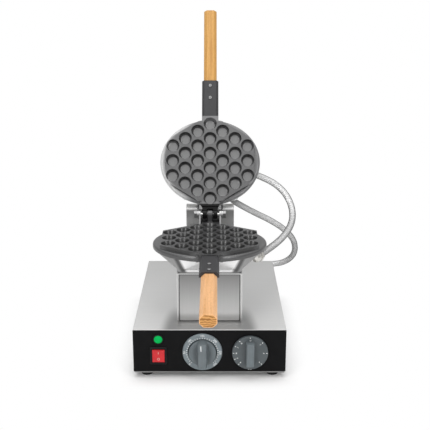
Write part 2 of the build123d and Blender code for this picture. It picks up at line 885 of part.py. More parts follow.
def gland(mouth, outward, stub_outward, through, trim):
    """Ferrule and collar in line with the hose, trimmed to the wall, and a stub through the wall."""
    elbow = mouth - outward * gland_stub
    collar_low = gland_stub - gland_lip - gland_nut_height
    collar = Pos(0, 0, collar_low) * extrude(RegularPolygon(gland_nut_radius, 6), gland_nut_height)
    lip = Pos(0, 0, gland_stub - gland_lip) * Cone(
        gland_radius,
        hose_diameter / 2 + cover_sheet,
        gland_lip,
        align=(Align.CENTER, Align.CENTER, Align.MIN),
    )
    arm = Plane(origin=elbow, z_dir=outward).location * (
        rod_z(gland_radius, 0, collar_low + gland_nut_height, 0, 0) + collar + lip
    )
    outside = arm + Pos(*elbow) * Sphere(gland_radius) - trim
    stub_place = Plane(origin=elbow, z_dir=stub_outward).location
    body = outside + stub_place * rod_z(gland_radius, -through, 0, 0, 0)
    bore = hose_diameter / 2 - 2 * cover_sheet
    body -= Plane(origin=elbow, z_dir=outward).location * rod_z(bore, 0, gland_stub + overrun, 0, 0)
    body -= stub_place * rod_z(bore, -through - overrun, 0, 0, 0)
    return body


def gland_hole(mouth, outward, stub_outward, through):
    """The round hole that a gland's stub passes through."""
    elbow = mouth - outward * gland_stub
    hole = rod_z(gland_radius + fixed_clearance, -through - overrun, gland_stub / 2, 0, 0)
    return Plane(origin=elbow, z_dir=stub_outward).location * hole


# Hose routes, from one gland's mouth to the other's
hose_a_route = [
    (82, 88, 285),
    (110, 86, 275),
    (135, 74, 258),
    (148, 54, 239),
    (150, 28, 220),
    (141, 0, 207),
    (125, -27, 197),
    (104, -54, 190),
    (86, -80, 187.5),
]
hose_b_route = [
    (38, 93, 242),
    (40, 117, 228),
    (60, 143, 209),
    (88, 160, 189),
    (119, 167, 172),
    (150, 174, 150),
    (172, 190, 120),
    (175, 212, 84),
    (156, 233, 58),
    (124, 243, 50),
    (100, 242, 51),
    (74, 226, 53),
    (hose_gland_x, 198, hose_gland_z),
    (hose_gland_x, half_depth + gland_stub, hose_gland_z),
]


def hose_tube(name, route):
    """A plain tube along straight runs joined by arcs as large as the runs allow."""
    points = [Vector(*p) for p in route]
    runs = [b - a for a, b in zip(points, points[1:])]
    radii = []
    for first, second in zip(runs, runs[1:]):
        turn = math.radians(first.get_angle(second))
        radii.append(hose_bend_share * min(first.length, second.length) / math.tan(turn / 2))
    path = FilletPolyline(*points, radius=radii)
    start = Plane(origin=points[0], z_dir=runs[0])
    tube = sweep(start * Circle(hose_diameter / 2), path=path)
    solid = tube.solids()[0]
    section = math.pi * (hose_diameter / 2) ** 2
    print(name, "radii", [round(r) for r in radii], "length", round(path.length, 1))
    print(name, "volume", round(solid.volume), "section x length", round(section * path.length))
    return solid


wall_run = lower_half_width - cover_rim_inset - pedestal_width / 2
wall_rise = pan_back - cover_floor - plinth_height
side_normal = Vector(wall_rise, 0, -wall_run).normalized()
lower_outer = lower_place(lower_cover_outer)
lid_outer = lid_place(upper_cover_outer)
base_block = block(-half_width, half_width, -half_depth, half_depth, foot_height, base_top)
lid_a_mouth, lid_a_way = hose_end(hose_a_route, False)
lid_b_mouth, lid_b_way = hose_end(hose_b_route, False)
low_a_mouth, low_a_way = hose_end(hose_a_route, True)
base_b_mouth, base_b_way = hose_end(hose_b_route, True)
lid_gland_a = gland(lid_a_mouth, lid_a_way, lid_a_way, lid_side_through, lid_outer)
lid_gland_b = gland(lid_b_mouth, lid_b_way, lid_b_way, gland_inner, lid_outer)
lower_gland_a = gland(low_a_mouth, low_a_way, side_normal, elbow_through, lower_outer)
base_gland_b = gland(base_b_mouth, base_b_way, base_b_way, gland_inner, base_block)
lower_cover = lower_place(lower_cover_shell - bracket_notch() - floor_holes - wire_hole)
lower_cover -= gland_hole(low_a_mouth, low_a_way, side_normal, elbow_through)
lid_cover = lid_place(upper_cover_shell - bracket_notch() - floor_holes)
lid_cover -= gland_hole(lid_a_mouth, lid_a_way, lid_a_way, lid_side_through)
lid_cover -= gland_hole(lid_b_mouth, lid_b_way, lid_b_way, gland_inner)
save("lower_cover", lower_cover)
save("upper_cover", lid_cover)
save("lid_hose_glands", [lid_gland_a, lid_gland_b])
save("lower_hose_gland", lower_gland_a)
save("base_hose_gland", base_gland_b)
save("hose_a", hose_tube("hose_a", hose_a_route))
save("hose_b", hose_tube("hose_b", hose_b_route))


# What each pan holds behind it
def heater():
    """Tubular element: an open oval loop with two legs that turn to the middle."""
    half = heater_leg_spacing / 2
    z = pan_floor - heater_tube_radius
    start = math.degrees(math.asin(half / heater_half_width))
    loop = EllipticalCenterArc(
        (0, 0), heater_half_width, heater_half_length, start_angle=start - 90, arc_size=360 - 2 * start
    )
    ends = (loop @ 0, loop @ 1)
    legs = [Line(e, (e.X, e.Y + heater_leg_length)) for e in ends]
    tube = None
    for edge in [loop] + legs:
        plane = Plane(origin=edge @ 0, z_dir=edge % 0)
        piece = sweep(plane * Circle(heater_tube_radius), path=edge)
        tube = piece if tube is None else tube + piece
    for end in ends:
        tube += Pos(end.X, end.Y, 0) * Sphere(heater_tube_radius)
    return Pos(0, -pan_reach, z) * tube


def heater_clamp():
    """Oval ring plate that holds the element against the casting."""
    z = pan_floor - 2 * heater_tube_radius
    half = clamp_ring_width / 2
    ring = ellipse_prism(heater_half_width + half, heater_half_length + half, z - clamp_plate_sheet, z)
    ring -= ellipse_prism(
        heater_half_width - half, heater_half_length - half, z - clamp_plate_sheet - overrun, z + overrun
    )
    return ring


def sensing_bulb():
    """Thermostat bulb against the casting, inside the heater loop."""
    return rod_y(
        bulb_radius, -pan_reach - bulb_length / 2, -pan_reach + bulb_length / 2, 0, pan_floor - bulb_radius
    )


def pillar(x, y, low, high):
    """A six-sided standoff."""
    return Pos(x, y, low) * extrude(RegularPolygon(standoff_radius, 6), high - low)


pillars = [pillar(x, y, cover_floor + cover_sheet, pan_floor) for x, y in standoff_places()]
save("lower_heater", lower_place(heater()))
save("upper_heater", lid_place(heater()))
save("lower_heater_clamp", lower_place(heater_clamp()))
save("upper_heater_clamp", lid_place(heater_clamp()))
save("sensing_bulb", lower_place(sensing_bulb()))
save("lower_standoffs", [lower_place(p) for p in pillars])
save("upper_standoffs", [lid_place(p) for p in pillars])
cover_screw = Rot(180, 0, 0) * screw_z(
    large_screw_radius, cover_sheet, head=2 * large_screw_radius, height=large_screw_radius
)
save("upper_cover_screws", [lid_place(Pos(x, y, cover_floor) * cover_screw) for x, y in standoff_places()])
under_shelf = cover_floor - pedestal_sheet
shelf_screw = Rot(180, 0, 0) * screw_z(
    large_screw_radius, cover_sheet + pedestal_sheet, head=2 * large_screw_radius, height=large_screw_radius
)
save("lower_cover_screws", [lower_place(Pos(x, y, under_shelf) * shelf_screw) for x, y in standoff_places()])


# Hinge
def lower_hinge_bracket():
    """Channel under the lower lug with two ears that hold the pin, and a web behind the lug."""
    inner = lower_ear_inside
    outer = inner + ear_thickness
    low = pan_back - ear_thickness
    rear = knuckle_radius + ear_gap + ear_thickness
    web = block(-outer, outer, bracket_start, rear, low, pan_back)
    back = block(-outer, outer, rear - ear_thickness, rear, pan_back, 0)
    bracket = web + back
    rim = pan_rim_y + 2 * overrun
    profile = [
        (rim, low),
        (rim, pan_back),
        (-ear_radius, axis_height),
        (ear_radius, axis_height),
        (rear, low),
    ]
    for side in (-1, 1):
        ends = sorted((side * inner, side * outer))
        bracket += side_profile(profile, ends[0], ends[1])
        bracket += rod_x(ear_radius, ends[0], ends[1], 0, axis_height)
    bracket -= rod_x(pin_radius + fixed_clearance, -outer - overrun, outer + overrun, 0, axis_height)
    return bracket - bracket_screw_holes()


def upper_hinge_bracket():
    """Channel on the back of the lid casting with two ears outside the lower pair."""
    inner = lower_ear_inside + ear_thickness + ear_gap
    outer = inner + ear_thickness
    low = pan_back - ear_thickness
    axis = -axis_height
    rim = pan_rim_y - overrun
    bracket = block(-outer, outer, bracket_start, -knuckle_radius * web_end_share, low, pan_back)
    back, rise, front, drop = [ear_radius * share for share in ear_profile_shares]
    profile = [(rim, low), (rim, pan_back), (-back, axis + rise), (front, axis - drop), (-ear_radius, low)]
    for side in (-1, 1):
        ends = sorted((side * inner, side * outer))
        bracket += side_profile(profile, ends[0], ends[1])
        bracket += rod_x(ear_radius, ends[0], ends[1], 0, axis)
    bracket -= rod_x(pin_radius + running_clearance, -outer - overrun, outer + overrun, 0, axis)
    return bracket - bracket_screw_holes()


save("lower_hinge_bracket", lower_place(lower_hinge_bracket()))
save("upper_hinge_bracket", lid_place(upper_hinge_bracket()))
save("hinge_pin", rod_x(pin_radius, -pin_length / 2, pin_length / 2, hinge_offset, hinge_z))
nut_start = lower_ear_inside + 2 * ear_thickness + 2 * ear_gap
hinge_nut_height = pin_length / 2 - nut_start
hinge_nut = hex_nut(nut_radius_share * pin_radius, pin_radius + fixed_clearance, hinge_nut_height)
hinge_nut = Rot(0, 90, 0) * hinge_nut
nut_right = Pos(nut_start, hinge_offset, hinge_z) * hinge_nut
nut_left = Pos(-nut_start - hinge_nut_height, hinge_offset, hinge_z) * hinge_nut
save("hinge_nuts", [nut_left, nut_right])

bracket_screw = Rot(180, 0, 0) * screw_z(small_screw_radius, 3 * ear_thickness)
bracket_screws = [
    Pos(side * bracket_screw_x, bracket_screw_y, pan_back - ear_thickness) * bracket_screw for side in (-1, 1)
]
save("lower_bracket_screws", [lower_place(s) for s in bracket_screws])
save("upper_bracket_screws", [lid_place(s) for s in bracket_screws])


# Handles
def handle_bracket():
    """Steel channel over the casting's tongue at one end and the wood at the other."""
    outer = octagon(neck_width, grip_thickness + 2 * socket_cap, grip_chamfer - socket_cap / 2)
    inner = octagon(grip_width + tenon_clearance, grip_thickness + tenon_clearance, grip_chamfer)
    socket = along_handle(outer, socket_start, socket_end - socket_start)
    socket -= along_handle(inner, socket_start - overrun, socket_end - socket_start + 2 * overrun)
    socket -= block(
        -neck_width,
        neck_width,
        -socket_end - overrun,
        -socket_start + overrun,
        grip_top_z - grip_thickness - 2 * socket_cap,
        socket_top_z - socket_depth,
    )
    for place in handle_screw_places:
        socket -= rod_z(small_screw_radius + fixed_clearance, grip_top_z - overrun, 0, 0, -place)
    return socket


def handle_grip():
    """Wooden grip, eight-sided, with its tenon in the socket and its end edges eased."""
    start = socket_end - tenon_length
    wood = along_handle(octagon(grip_width, grip_thickness, grip_chamfer), start, grip_end - start)
    end_edges = wood.faces().sort_by(Axis.Y)[0].edges()
    wood = chamfer(end_edges, socket_wall / 3)
    hole = small_screw_radius + fixed_clearance
    return wood - rod_z(hole, grip_top_z - grip_thickness / 2, 0, 0, -handle_screw_places[1])


handle_screws = [
    screw_z(
        small_screw_radius,
        socket_cap + grip_thickness * screw_bite_share,
        0,
        -place,
        socket_top_z,
        handle_head_radius,
        handle_head_height,
    )
    for place in handle_screw_places
]
save("lower_handle_bracket", lower_place(handle_bracket()))
save("upper_handle_bracket", lid_place(handle_bracket()))
save("lower_handle_grip", lower_place(handle_grip()))
save("upper_handle_grip", lid_place(handle_grip()))
save("lower_handle_screws", [lower_place(s) for s in handle_screws])
save("upper_handle_screws", [lid_place(s) for s in handle_screws])

# Rubber bumper on the lid's cover that rests on the lid stop
bumper_radius = lug_half_width * bumper_share
bumper_y = stop_front + stop_flange / 2
bumper_low = base_top + stop_height + ear_gap
bumper = rod_z(bumper_radius, bumper_low, bumper_low + 2 * bumper_radius, 0, bumper_y)
bumper -= lid_outer
bumper -= lid_place(bracket_notch())
bumper -= lid_place(upper_hinge_bracket())
save("lid_bumper", bumper.solids().sort_by(Axis.Z)[0])


# Controls
def lamp_body():
    """Bezel ring on the fascia with its barrel through the hole."""
    bezel = rod_y(lamp_bezel_radius, panel_front - switch_bezel, panel_front, 0, 0)
    bezel = fillet(bezel.edges().sort_by(Axis.Y)[0], switch_bezel * bezel_round_share)
    bezel -= rod_y(lamp_radius + fixed_clearance, panel_front - 2 * switch_bezel, seat_front, 0, 0)
    barrel = rod_y(lamp_barrel_radius, panel_front, panel_front + lamp_barrel_length, 0, 0)
    return Pos(lamp_x, 0, lamp_z) * (bezel + barrel)


def lamp_lens():
    """Domed green lens in the bezel."""
    dome_height = lamp_radius * lens_rise_share
    ball = (lamp_radius**2 + dome_height**2) / (2 * dome_height)
    lens = Pos(0, seat_front + ball - dome_height, 0) * Sphere(ball)
    lens &= rod_y(lamp_radius, seat_front - 2 * dome_height, seat_front, 0, 0)
    return Pos(lamp_x, 0, lamp_z) * lens


def switch_housing():
    """Rectangular bezel with a body behind the fascia, open at the front for the rocker."""
    bezel = block(
        -switch_width / 2,
        switch_width / 2,
        panel_front - switch_bezel,
        panel_front,
        -switch_height / 2,
        switch_height / 2,
    )
    bezel = fillet(bezel.edges().filter_by(Axis.Y), switch_bezel)
    bezel = chamfer(bezel.faces().sort_by(Axis.Y)[0].edges(), switch_bezel * bezel_edge_share)
    body_x = (rocker_width + switch_bezel) / 2
    body_z = (rocker_height + switch_bezel) / 2
    body = block(-body_x, body_x, panel_front, panel_front + switch_body_depth, -body_z, body_z)
    window_x = rocker_width / 2 + fixed_clearance * 4
    window_z = rocker_height / 2 + fixed_clearance * 4
    housing = bezel + body
    housing -= block(
        -window_x,
        window_x,
        panel_front - 2 * switch_bezel,
        panel_front + switch_body_depth / 2,
        -window_z,
        window_z,
    )
    pivot = panel_front + switch_bezel / 2
    housing -= rod_x(rocker_pin_radius + running_clearance, -body_x, body_x, pivot, 0)
    return Pos(switch_x, 0, switch_z) * housing


def rocker():
    """Red rocker in its off place: lower half pressed in, upper half standing out."""
    half = rocker_height / 2 - fixed_clearance
    pivot = panel_front + switch_bezel / 2
    face = panel_front - switch_bezel * (1 + bezel_edge_share)
    low = -half * rocker_low_share
    high = half * rocker_high_share
    lift = half * math.tan(math.radians(rocker_travel_degrees))
    side = rocker_width / 2 - fixed_clearance
    shape = side_profile(
        [
            (pivot, low),
            (face, low),
            (face, 0),
            (face - lift * rocker_high_share, high),
            (pivot, high),
            (pivot + switch_body_depth * rocker_root_share, 0),
        ],
        -side,
        side,
    )
    pin_reach = side + rocker_pin_reach
    shape += rod_x(rocker_pin_radius, -pin_reach, pin_reach, pivot, 0)
    return Pos(switch_x, 0, switch_z) * shape


def control_body(x):
    """Thermostat or timer body behind the fascia with its threaded bush through it."""
    half = control_body_width / 2
    rise = half * control_height_share
    body = block(-half, half, panel_back, panel_back + control_body_depth, -rise, rise)
    body = fillet(body.edges().filter_by(Axis.Y), bush_length)
    body += rod_y(bush_radius, panel_front - bush_length, panel_back, 0, 0)
    shaft_end = panel_back + control_body_depth * shaft_bore_share
    body -= rod_y(shaft_radius + running_clearance, panel_front - 2 * bush_length, shaft_end, 0, 0)
    return Pos(x, 0, dial_z) * body


def control_shaft(x, tip):
    """Shaft with a flat, from inside the body to inside the knob."""
    shaft = rod_y(shaft_radius, tip, panel_back + control_body_depth / 2, 0, 0)
    flat = shaft_radius / 2
    flat_end = panel_front - bush_length - knob_panel_gap / 2
    shaft -= block(-2 * shaft_radius, 2 * shaft_radius, tip - overrun, flat_end, flat, 2 * shaft_radius)
    return Pos(x, 0, dial_z) * shaft


def knob(radius, skirt, grip_height, width, length, back):
    """Round skirt with a raised bar across it, and a D-shaped hole for the shaft."""
    face = back - skirt
    front = back - grip_height
    disc = rod_y(radius, face, back, 0, 0)
    disc = fillet(disc.edges().sort_by(Axis.Y)[0], skirt / 4)
    bar = block(-width / 2, width / 2, front, face + skirt / 2, -length / 2, length / 2)
    bar &= rod_y(radius, front - overrun, back, 0, 0)
    bar = fillet(bar.faces().sort_by(Axis.Y)[0].edges(), width * bar_round_share)
    body = disc + bar
    hole_end = front + skirt / 2
    shaft_hole = rod_y(shaft_radius + fixed_clearance, hole_end, back + overrun, 0, 0)
    flat = shaft_radius / 2 + fixed_clearance
    shaft_hole -= block(
        -2 * shaft_radius, 2 * shaft_radius, hole_end - overrun, back - bush_length, flat, 2 * shaft_radius
    )
    relief = rod_y(bush_nut_radius + knob_panel_gap, back - bush_length, back + overrun, 0, 0)
    return body - shaft_hole - relief


knob_back = panel_front - knob_panel_gap
ring = rod_y(ring_radius, panel_front - ring_thickness, panel_front, thermostat_x, dial_z)
ring = chamfer(ring.edges().sort_by(Axis.Y)[0], ring_thickness / 2)
ring_hole = thermostat_knob_radius + knob_panel_gap
ring -= rod_y(ring_hole, panel_front - 2 * ring_thickness, panel_front + overrun, thermostat_x, dial_z)
thermostat_knob = Pos(thermostat_x, 0, dial_z) * knob(
    thermostat_knob_radius,
    thermostat_skirt,
    thermostat_grip_height,
    thermostat_grip_width,
    2 * thermostat_knob_radius,
    knob_back,
)
timer_knob = Pos(timer_x, 0, dial_z) * knob(
    timer_knob_radius, timer_skirt, timer_grip_height, timer_grip_width, timer_grip_length, knob_back
)
save("lamp_body", lamp_body())
save("lamp_lens", lamp_lens())
save("switch_housing", switch_housing())
save("power_rocker", rocker())
save("thermostat_scale_ring", ring)
save("thermostat_body", control_body(thermostat_x))
save("timer_body", control_body(timer_x))
thermostat_tip = knob_back - thermostat_grip_height + thermostat_skirt / 2 + knob_panel_gap
timer_tip = knob_back - timer_grip_height + timer_skirt / 2 + knob_panel_gap
save("thermostat_shaft", control_shaft(thermostat_x, thermostat_tip))
save("timer_shaft", control_shaft(timer_x, timer_tip))
save("thermostat_knob", thermostat_knob)
save("timer_knob", timer_knob)
bush_nut = Rot(90, 0, 0) * hex_nut(bush_nut_radius, bush_radius + fixed_clearance, bush_nut_height)
save("control_nuts", [Pos(x, panel_front, dial_z) * bush_nut for x in (thermostat_x, timer_x)])


# Inside the base
def terminal_block():
    """Row of clamps that joins the mains to the wires of the pans."""
    length = terminal_length / 2
    depth = terminal_depth / 2
    top = terminal_height
    body = block(-length, length, -depth, depth, 0, top)
    middle = (terminal_count - 1) / 2
    for column in range(terminal_count):
        x = (column - middle) * terminal_pitch
        body -= rod_z(terminal_hole_radius, terminal_floor, top + overrun, x, 0)
    return Pos(-half_width / 3, half_depth / 2, panel_bottom) * body


def mains_gland():
    """Cable gland on the rear panel: collar outside, nut inside, and an open bore."""
    outer = Rot(90, 0, 0) * extrude(RegularPolygon(gland_nut_radius, 6), gland_nut_height)
    outer = Pos(0, half_depth + gland_nut_height, 0) * outer
    inner_nut_height = gland_nut_height * gland_inner_nut_share
    inner_nut = Rot(90, 0, 0) * extrude(RegularPolygon(gland_nut_radius, 6), inner_nut_height)
    inner_nut = Pos(0, half_depth - sheet, 0) * inner_nut
    inner_end = half_depth - sheet - gland_nut_height
    barrel = rod_y(gland_radius, inner_end, half_depth + gland_nut_height * 2, 0, 0)
    dome = fillet(barrel.edges().sort_by(Axis.Y)[-1], gland_nut_height * gland_round_share)
    body = outer + inner_nut + dome
    body -= rod_y(mains_cable_radius, 0, base_depth, 0, 0)
    return Pos(mains_gland_x, 0, mains_gland_z) * body


save("terminal_block", terminal_block())
save("mains_gland", mains_gland())
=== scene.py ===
"""Bubble waffle maker: finishes, hoses, dials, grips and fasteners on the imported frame."""

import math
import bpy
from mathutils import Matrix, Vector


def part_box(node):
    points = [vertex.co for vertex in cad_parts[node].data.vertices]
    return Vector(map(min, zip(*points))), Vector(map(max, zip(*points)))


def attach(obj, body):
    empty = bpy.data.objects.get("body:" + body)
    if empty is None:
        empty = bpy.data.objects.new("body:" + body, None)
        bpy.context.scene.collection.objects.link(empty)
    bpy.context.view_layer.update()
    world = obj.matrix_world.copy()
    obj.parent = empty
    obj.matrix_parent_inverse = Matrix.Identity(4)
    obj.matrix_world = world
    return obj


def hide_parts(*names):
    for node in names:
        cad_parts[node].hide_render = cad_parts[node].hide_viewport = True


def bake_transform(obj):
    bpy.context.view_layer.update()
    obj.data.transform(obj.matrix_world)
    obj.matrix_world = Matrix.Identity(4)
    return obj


bl_info = {
    "name": "Bubble waffle maker",
    "version": (1, 0, 0),
    "blender": (4, 5, 0),
    "location": "3D Viewport > Sidebar > Waffle maker",
    "description": "Builds a bubble waffle maker with an open lid, on a packed frame",
    "category": "Object",
}

import bmesh
import bpy
import numpy as np
from bpy.props import FloatProperty, FloatVectorProperty, IntProperty, PointerProperty
from bpy.types import Operator, Panel, PropertyGroup
from mathutils import Vector

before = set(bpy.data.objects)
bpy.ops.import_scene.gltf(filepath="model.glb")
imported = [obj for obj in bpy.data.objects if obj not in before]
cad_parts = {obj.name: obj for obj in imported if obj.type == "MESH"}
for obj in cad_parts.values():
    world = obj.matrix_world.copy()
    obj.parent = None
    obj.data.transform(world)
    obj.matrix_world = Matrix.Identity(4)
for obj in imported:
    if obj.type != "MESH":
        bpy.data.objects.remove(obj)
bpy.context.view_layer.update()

# Places and sizes of the solids, in millimetres
MM = 0.001
FRONT = -161.5
KNOB_BACK = FRONT - 0.6
BASE_TOP = 87.5
HINGE_Y, HINGE_Z = 29.5, 225.0
AXIS_HEIGHT = 10.0
OPEN_ANGLE = math.radians(121.7)
PAN_REACH, PAN_HALF_LENGTH = 100.0, 81.5
LOWER_HALF_WIDTH, UPPER_HALF_WIDTH = 96.0, 91.5
DIAL_Z = 47.4
THERMOSTAT_X, TIMER_X = -11.7, 66.2
LAMP_X, LAMP_Z = -83.6, 70.0
SWITCH_X, SWITCH_Z = -83.6, 41.0
ROCKER_TILT = math.radians(12)

# Depths below a pan's mating plane where the painted shade of a cavity's wall ends, and where the rim's top lies
WALL_END, RIM_TOP = 10.0, 7.0

# Camera, lamps as (name, place, aim, size, watts) in metres, and the light that comes from all round
CAMERA_PLACE = (8.91 * MM, -1319.27 * MM, 627.9 * MM)
LAMPS = (
    ("top", (0.0, -0.1, 2.3), (0, 0, 0.1), (2.2, 2.2), 26),
    ("left_strip", (-1.1, -1.7, 1.25), (0, -0.07, 0.21), (0.55, 1.6), 14.5),
    ("right_strip", (1.1, -1.7, 1.25), (0, -0.07, 0.21), (0.55, 1.6), 12.5),
)
AMBIENT, FRONT_GREY, HORIZON_GREY = 0.5, 0.8, 0.6
BASE_FOOTPRINT = (0.125, 0.16, 0)
SHADOW_REACH = 0.048

# Steps of a hose's mesh: millimetres along it, and points round it for each strand
HOSE_SPACING, STRAND_POINTS = 0.9, 6

# Control points of the two hoses, in millimetres: lid to lower pan, and lid to base
HOSE_A = [
    (82, 88, 285), (110, 86, 275), (135, 74, 258), (148, 54, 239), (150, 28, 220), (141, 0, 207),
    (125, -27, 197), (104, -54, 190), (86, -80, 187.5),
]
HOSE_B = [
    (38, 93, 242), (40, 117, 228), (60, 143, 209), (88, 160, 189), (119, 167, 172), (150, 174, 150),
    (172, 190, 120), (175, 212, 84), (156, 233, 58), (124, 243, 50), (100, 242, 51), (74, 226, 53),
    (63, 198, 55), (63, 175.5, 55),
]
# Between these heights the second hose runs from the lid down to the base
HOSE_B_TURN = ((40, 117, 228), (40, 117, 62))

# Directions of brushed lines: along X, and up
ALONG, UPRIGHT = (12, 1400, 1400), (1400, 1400, 12)
# Nearly black, for the painted shade on the pans' cavity walls and knuckles
SHADE_BLACK = (0.003, 0.003, 0.003)

# The nodes of each finish
PAINTED = {
    "top_sheet": "base_housing",
    "edge_sheet": "bottom_plate",
    "upright_sheet": "rear_panel lid_stop",
    "pedestal": "pedestal_frame",
    "plate": "pedestal_front_plate pedestal_rear_plate",
    "fascia": "front_panel",
    "coating": "lower_pan",
    "lid_coating": "upper_pan",
    "bowl": "upper_cover",
    "lower_bowl": "lower_cover",
    "bracket": "lower_hinge_bracket upper_hinge_bracket",
    "socket": "lower_handle_bracket upper_handle_bracket",
    "lower_wood": "lower_handle_grip",
    "upper_wood": "upper_handle_grip",
    "rubber": "rubber_feet lid_bumper",
    "dial": "timer_knob thermostat_scale_ring",
    "knob": "thermostat_knob",
    "black": "lamp_body switch_housing mains_gland thermostat_body timer_body terminal_block",
    "rocker": "power_rocker lamp_lens",
    "element": "lower_heater upper_heater lower_heater_clamp upper_heater_clamp sensing_bulb",
    "brass": "lid_hose_glands lower_hose_gland base_hose_gland",
    "nut": "hinge_nuts",
    "screw": "base_nuts plate_screws foot_screws pedestal_screws lid_stop_screws lower_bracket_screws "
    "upper_bracket_screws lower_handle_screws upper_handle_screws upper_cover_screws lower_cover_screws "
    "hinge_pin control_nuts thermostat_shaft timer_shaft lower_standoffs upper_standoffs",
}


# Settings


class SizeSettings(PropertyGroup):
    """Sizes that a user may change."""

    hose_diameter: FloatProperty(
        name="Hose diameter", description="Outside of the braid", default=0.012, unit="LENGTH"
    )
    braid_relief: FloatProperty(
        name="Braid relief", description="How far the strands stand out", default=0.00035, unit="LENGTH"
    )
    braid_strands: IntProperty(
        name="Braid strands", description="Strands in each direction round a hose", default=10, min=6, max=16
    )
    edge_radius: FloatProperty(
        name="Wood edge radius", description="Rounding of the grips' long edges", default=0.0012, unit="LENGTH"
    )
    camera_pitch: FloatProperty(
        name="Camera pitch", description="Downward look of the camera", default=math.radians(16.68), subtype="ANGLE"
    )
    camera_lens: FloatProperty(name="Camera lens", description="Focal length in mm", default=65.3)


class ColourSettings(PropertyGroup):
    """Colours that a user may change."""

    steel: FloatVectorProperty(
        name="Sheet steel", description="Brushed stainless sheet", default=(0.7, 0.7, 0.695), subtype="COLOR"
    )
    coating: FloatVectorProperty(
        name="Pan coating", description="Non-stick coating", default=(0.034, 0.034, 0.035), subtype="COLOR"
    )
    wood_light: FloatVectorProperty(
        name="Light wood", description="Beech between the grain lines", default=(0.79, 0.44, 0.205), subtype="COLOR"
    )
    wood_dark: FloatVectorProperty(
        name="Dark wood", description="Beech grain lines", default=(0.61, 0.3, 0.105), subtype="COLOR"
    )
    dial: FloatVectorProperty(
        name="Dial", description="Dial and knob plastic", default=(0.16, 0.19, 0.205), subtype="COLOR"
    )
    lamp: FloatVectorProperty(
        name="Lamp", description="Indicator lens", default=(0.003, 0.42, 0.09), subtype="COLOR"
    )
    rocker: FloatVectorProperty(
        name="Rocker", description="Power rocker", default=(0.56, 0.022, 0.028), subtype="COLOR"
    )


# Meshes from grids of points


def grid_faces(rows, columns, close_columns=False):
    """Quads of a grid: each takes four neighbours, and closed columns wrap round to their start."""
    i, j = np.meshgrid(np.arange(rows - 1), np.arange(columns if close_columns else columns - 1), indexing="ij")
    here, after = i * columns, (i + 1) * columns
    j2 = (j + 1) % columns
    return np.stack([here + j, after + j, after + j2, here + j2], -1).reshape(-1, 4)


def surface(points, close_columns=False):
    """A grid of points as loose vertices and quads."""
    points = np.asarray(points, float)
    return points.reshape(-1, 3), grid_faces(*points.shape[:2], close_columns)


def linked(name, data):
    """A new object in the scene."""
    thing = bpy.data.objects.new(name, data)
    bpy.context.scene.collection.objects.link(thing)
    return thing


def build(name, pieces, materials, sharp=35.0, solid=True, groups=None):
    """One mesh object from several surfaces in millimetres: doubles merged, normals outwards, edges sharp
    above an angle. groups gives each surface the number of its material."""
    verts, faces, marks, start = [], [], [], 0
    for k, (v, f) in enumerate(pieces):
        verts.append(v)
        faces.append(np.asarray(f) + start)
        marks.append(np.full(len(f), 0 if groups is None else groups[k]))
        start += len(v)
    mesh = bpy.data.meshes.new(name)
    mesh.from_pydata((np.concatenate(verts) * MM).tolist(), [], [q for f in faces for q in f.tolist()])
    for material in materials if isinstance(materials, (list, tuple)) else [materials]:
        mesh.materials.append(material)
    mesh.polygons.foreach_set("material_index", np.concatenate(marks).astype(np.int32))
    work = bmesh.new()
    work.from_mesh(mesh)
    bmesh.ops.remove_doubles(work, verts=work.verts, dist=2e-6)
    bmesh.ops.dissolve_degenerate(work, edges=work.edges, dist=1e-6)
    if solid:
        bmesh.ops.recalc_face_normals(work, faces=work.faces)
    work.to_mesh(mesh)
    work.free()
    mesh.polygons.foreach_set("use_smooth", np.ones(len(mesh.polygons), bool))
    mesh.set_sharp_from_angle(angle=math.radians(sharp))
    mesh.update()
    return linked(name, mesh)


def moved(piece, matrix):
    """A surface carried by a 4 by 4 matrix in millimetres."""
    v, f = piece
    return v @ matrix[:3, :3].T + matrix[:3, 3], f


def joined(pieces, matrix):
    """Several surfaces carried together."""
    return [moved(p, matrix) for p in pieces]


def turn(axis, angle):
    """4 by 4 turn about a row axis."""
    m = np.eye(4)
    c, s = math.cos(angle), math.sin(angle)
    a, b = {"X": (1, 2), "Y": (2, 0), "Z": (0, 1)}[axis]
    m[a, a], m[a, b], m[b, a], m[b, b] = c, -s, s, c
    return m


def shift(x, y, z):
    """4 by 4 move."""
    m = np.eye(4)
    m[:3, 3] = (x, y, z)
    return m


FLIP = np.diag([1.0, 1.0, -1.0, 1.0])
LOWER = shift(0, HINGE_Y, HINGE_Z - AXIS_HEIGHT)
LID = shift(0, HINGE_Y, HINGE_Z) @ turn("X", -OPEN_ANGLE) @ shift(0, 0, -AXIS_HEIGHT) @ FLIP


def towards(point, direction, roll):
    """4 by 4 place whose Z points along a direction, at a point."""
    z = np.array(direction, float)
    z /= np.linalg.norm(z)
    guess = np.array([0.0, 0.0, 1.0]) if abs(z[2]) < 0.9 else np.array([0.0, 1.0, 0.0])
    x = np.cross(guess, z)
    x /= np.linalg.norm(x)
    m = np.eye(4)
    m[:3, 0], m[:3, 1], m[:3, 2], m[:3, 3] = x, np.cross(z, x), z, point
    return m @ turn("Z", roll)


def lathe(profile, count):
    """A profile of (radius, height) points turned about Z."""
    profile = np.asarray(profile, float)
    angle = np.linspace(0, 2 * np.pi, count, endpoint=False)
    r = profile[:, 0][:, None] * np.ones(count)[None, :]
    z = np.repeat(profile[:, 1][:, None], count, axis=1)
    return surface(np.stack([r * np.cos(angle), r * np.sin(angle), z], -1), close_columns=True)


def arc(cx, cz, radius, start, end, count):
    """Points of a circle between two angles in degrees."""
    a = np.radians(np.linspace(start, end, count))
    return [(cx + radius * math.cos(t), cz + radius * math.sin(t)) for t in a]


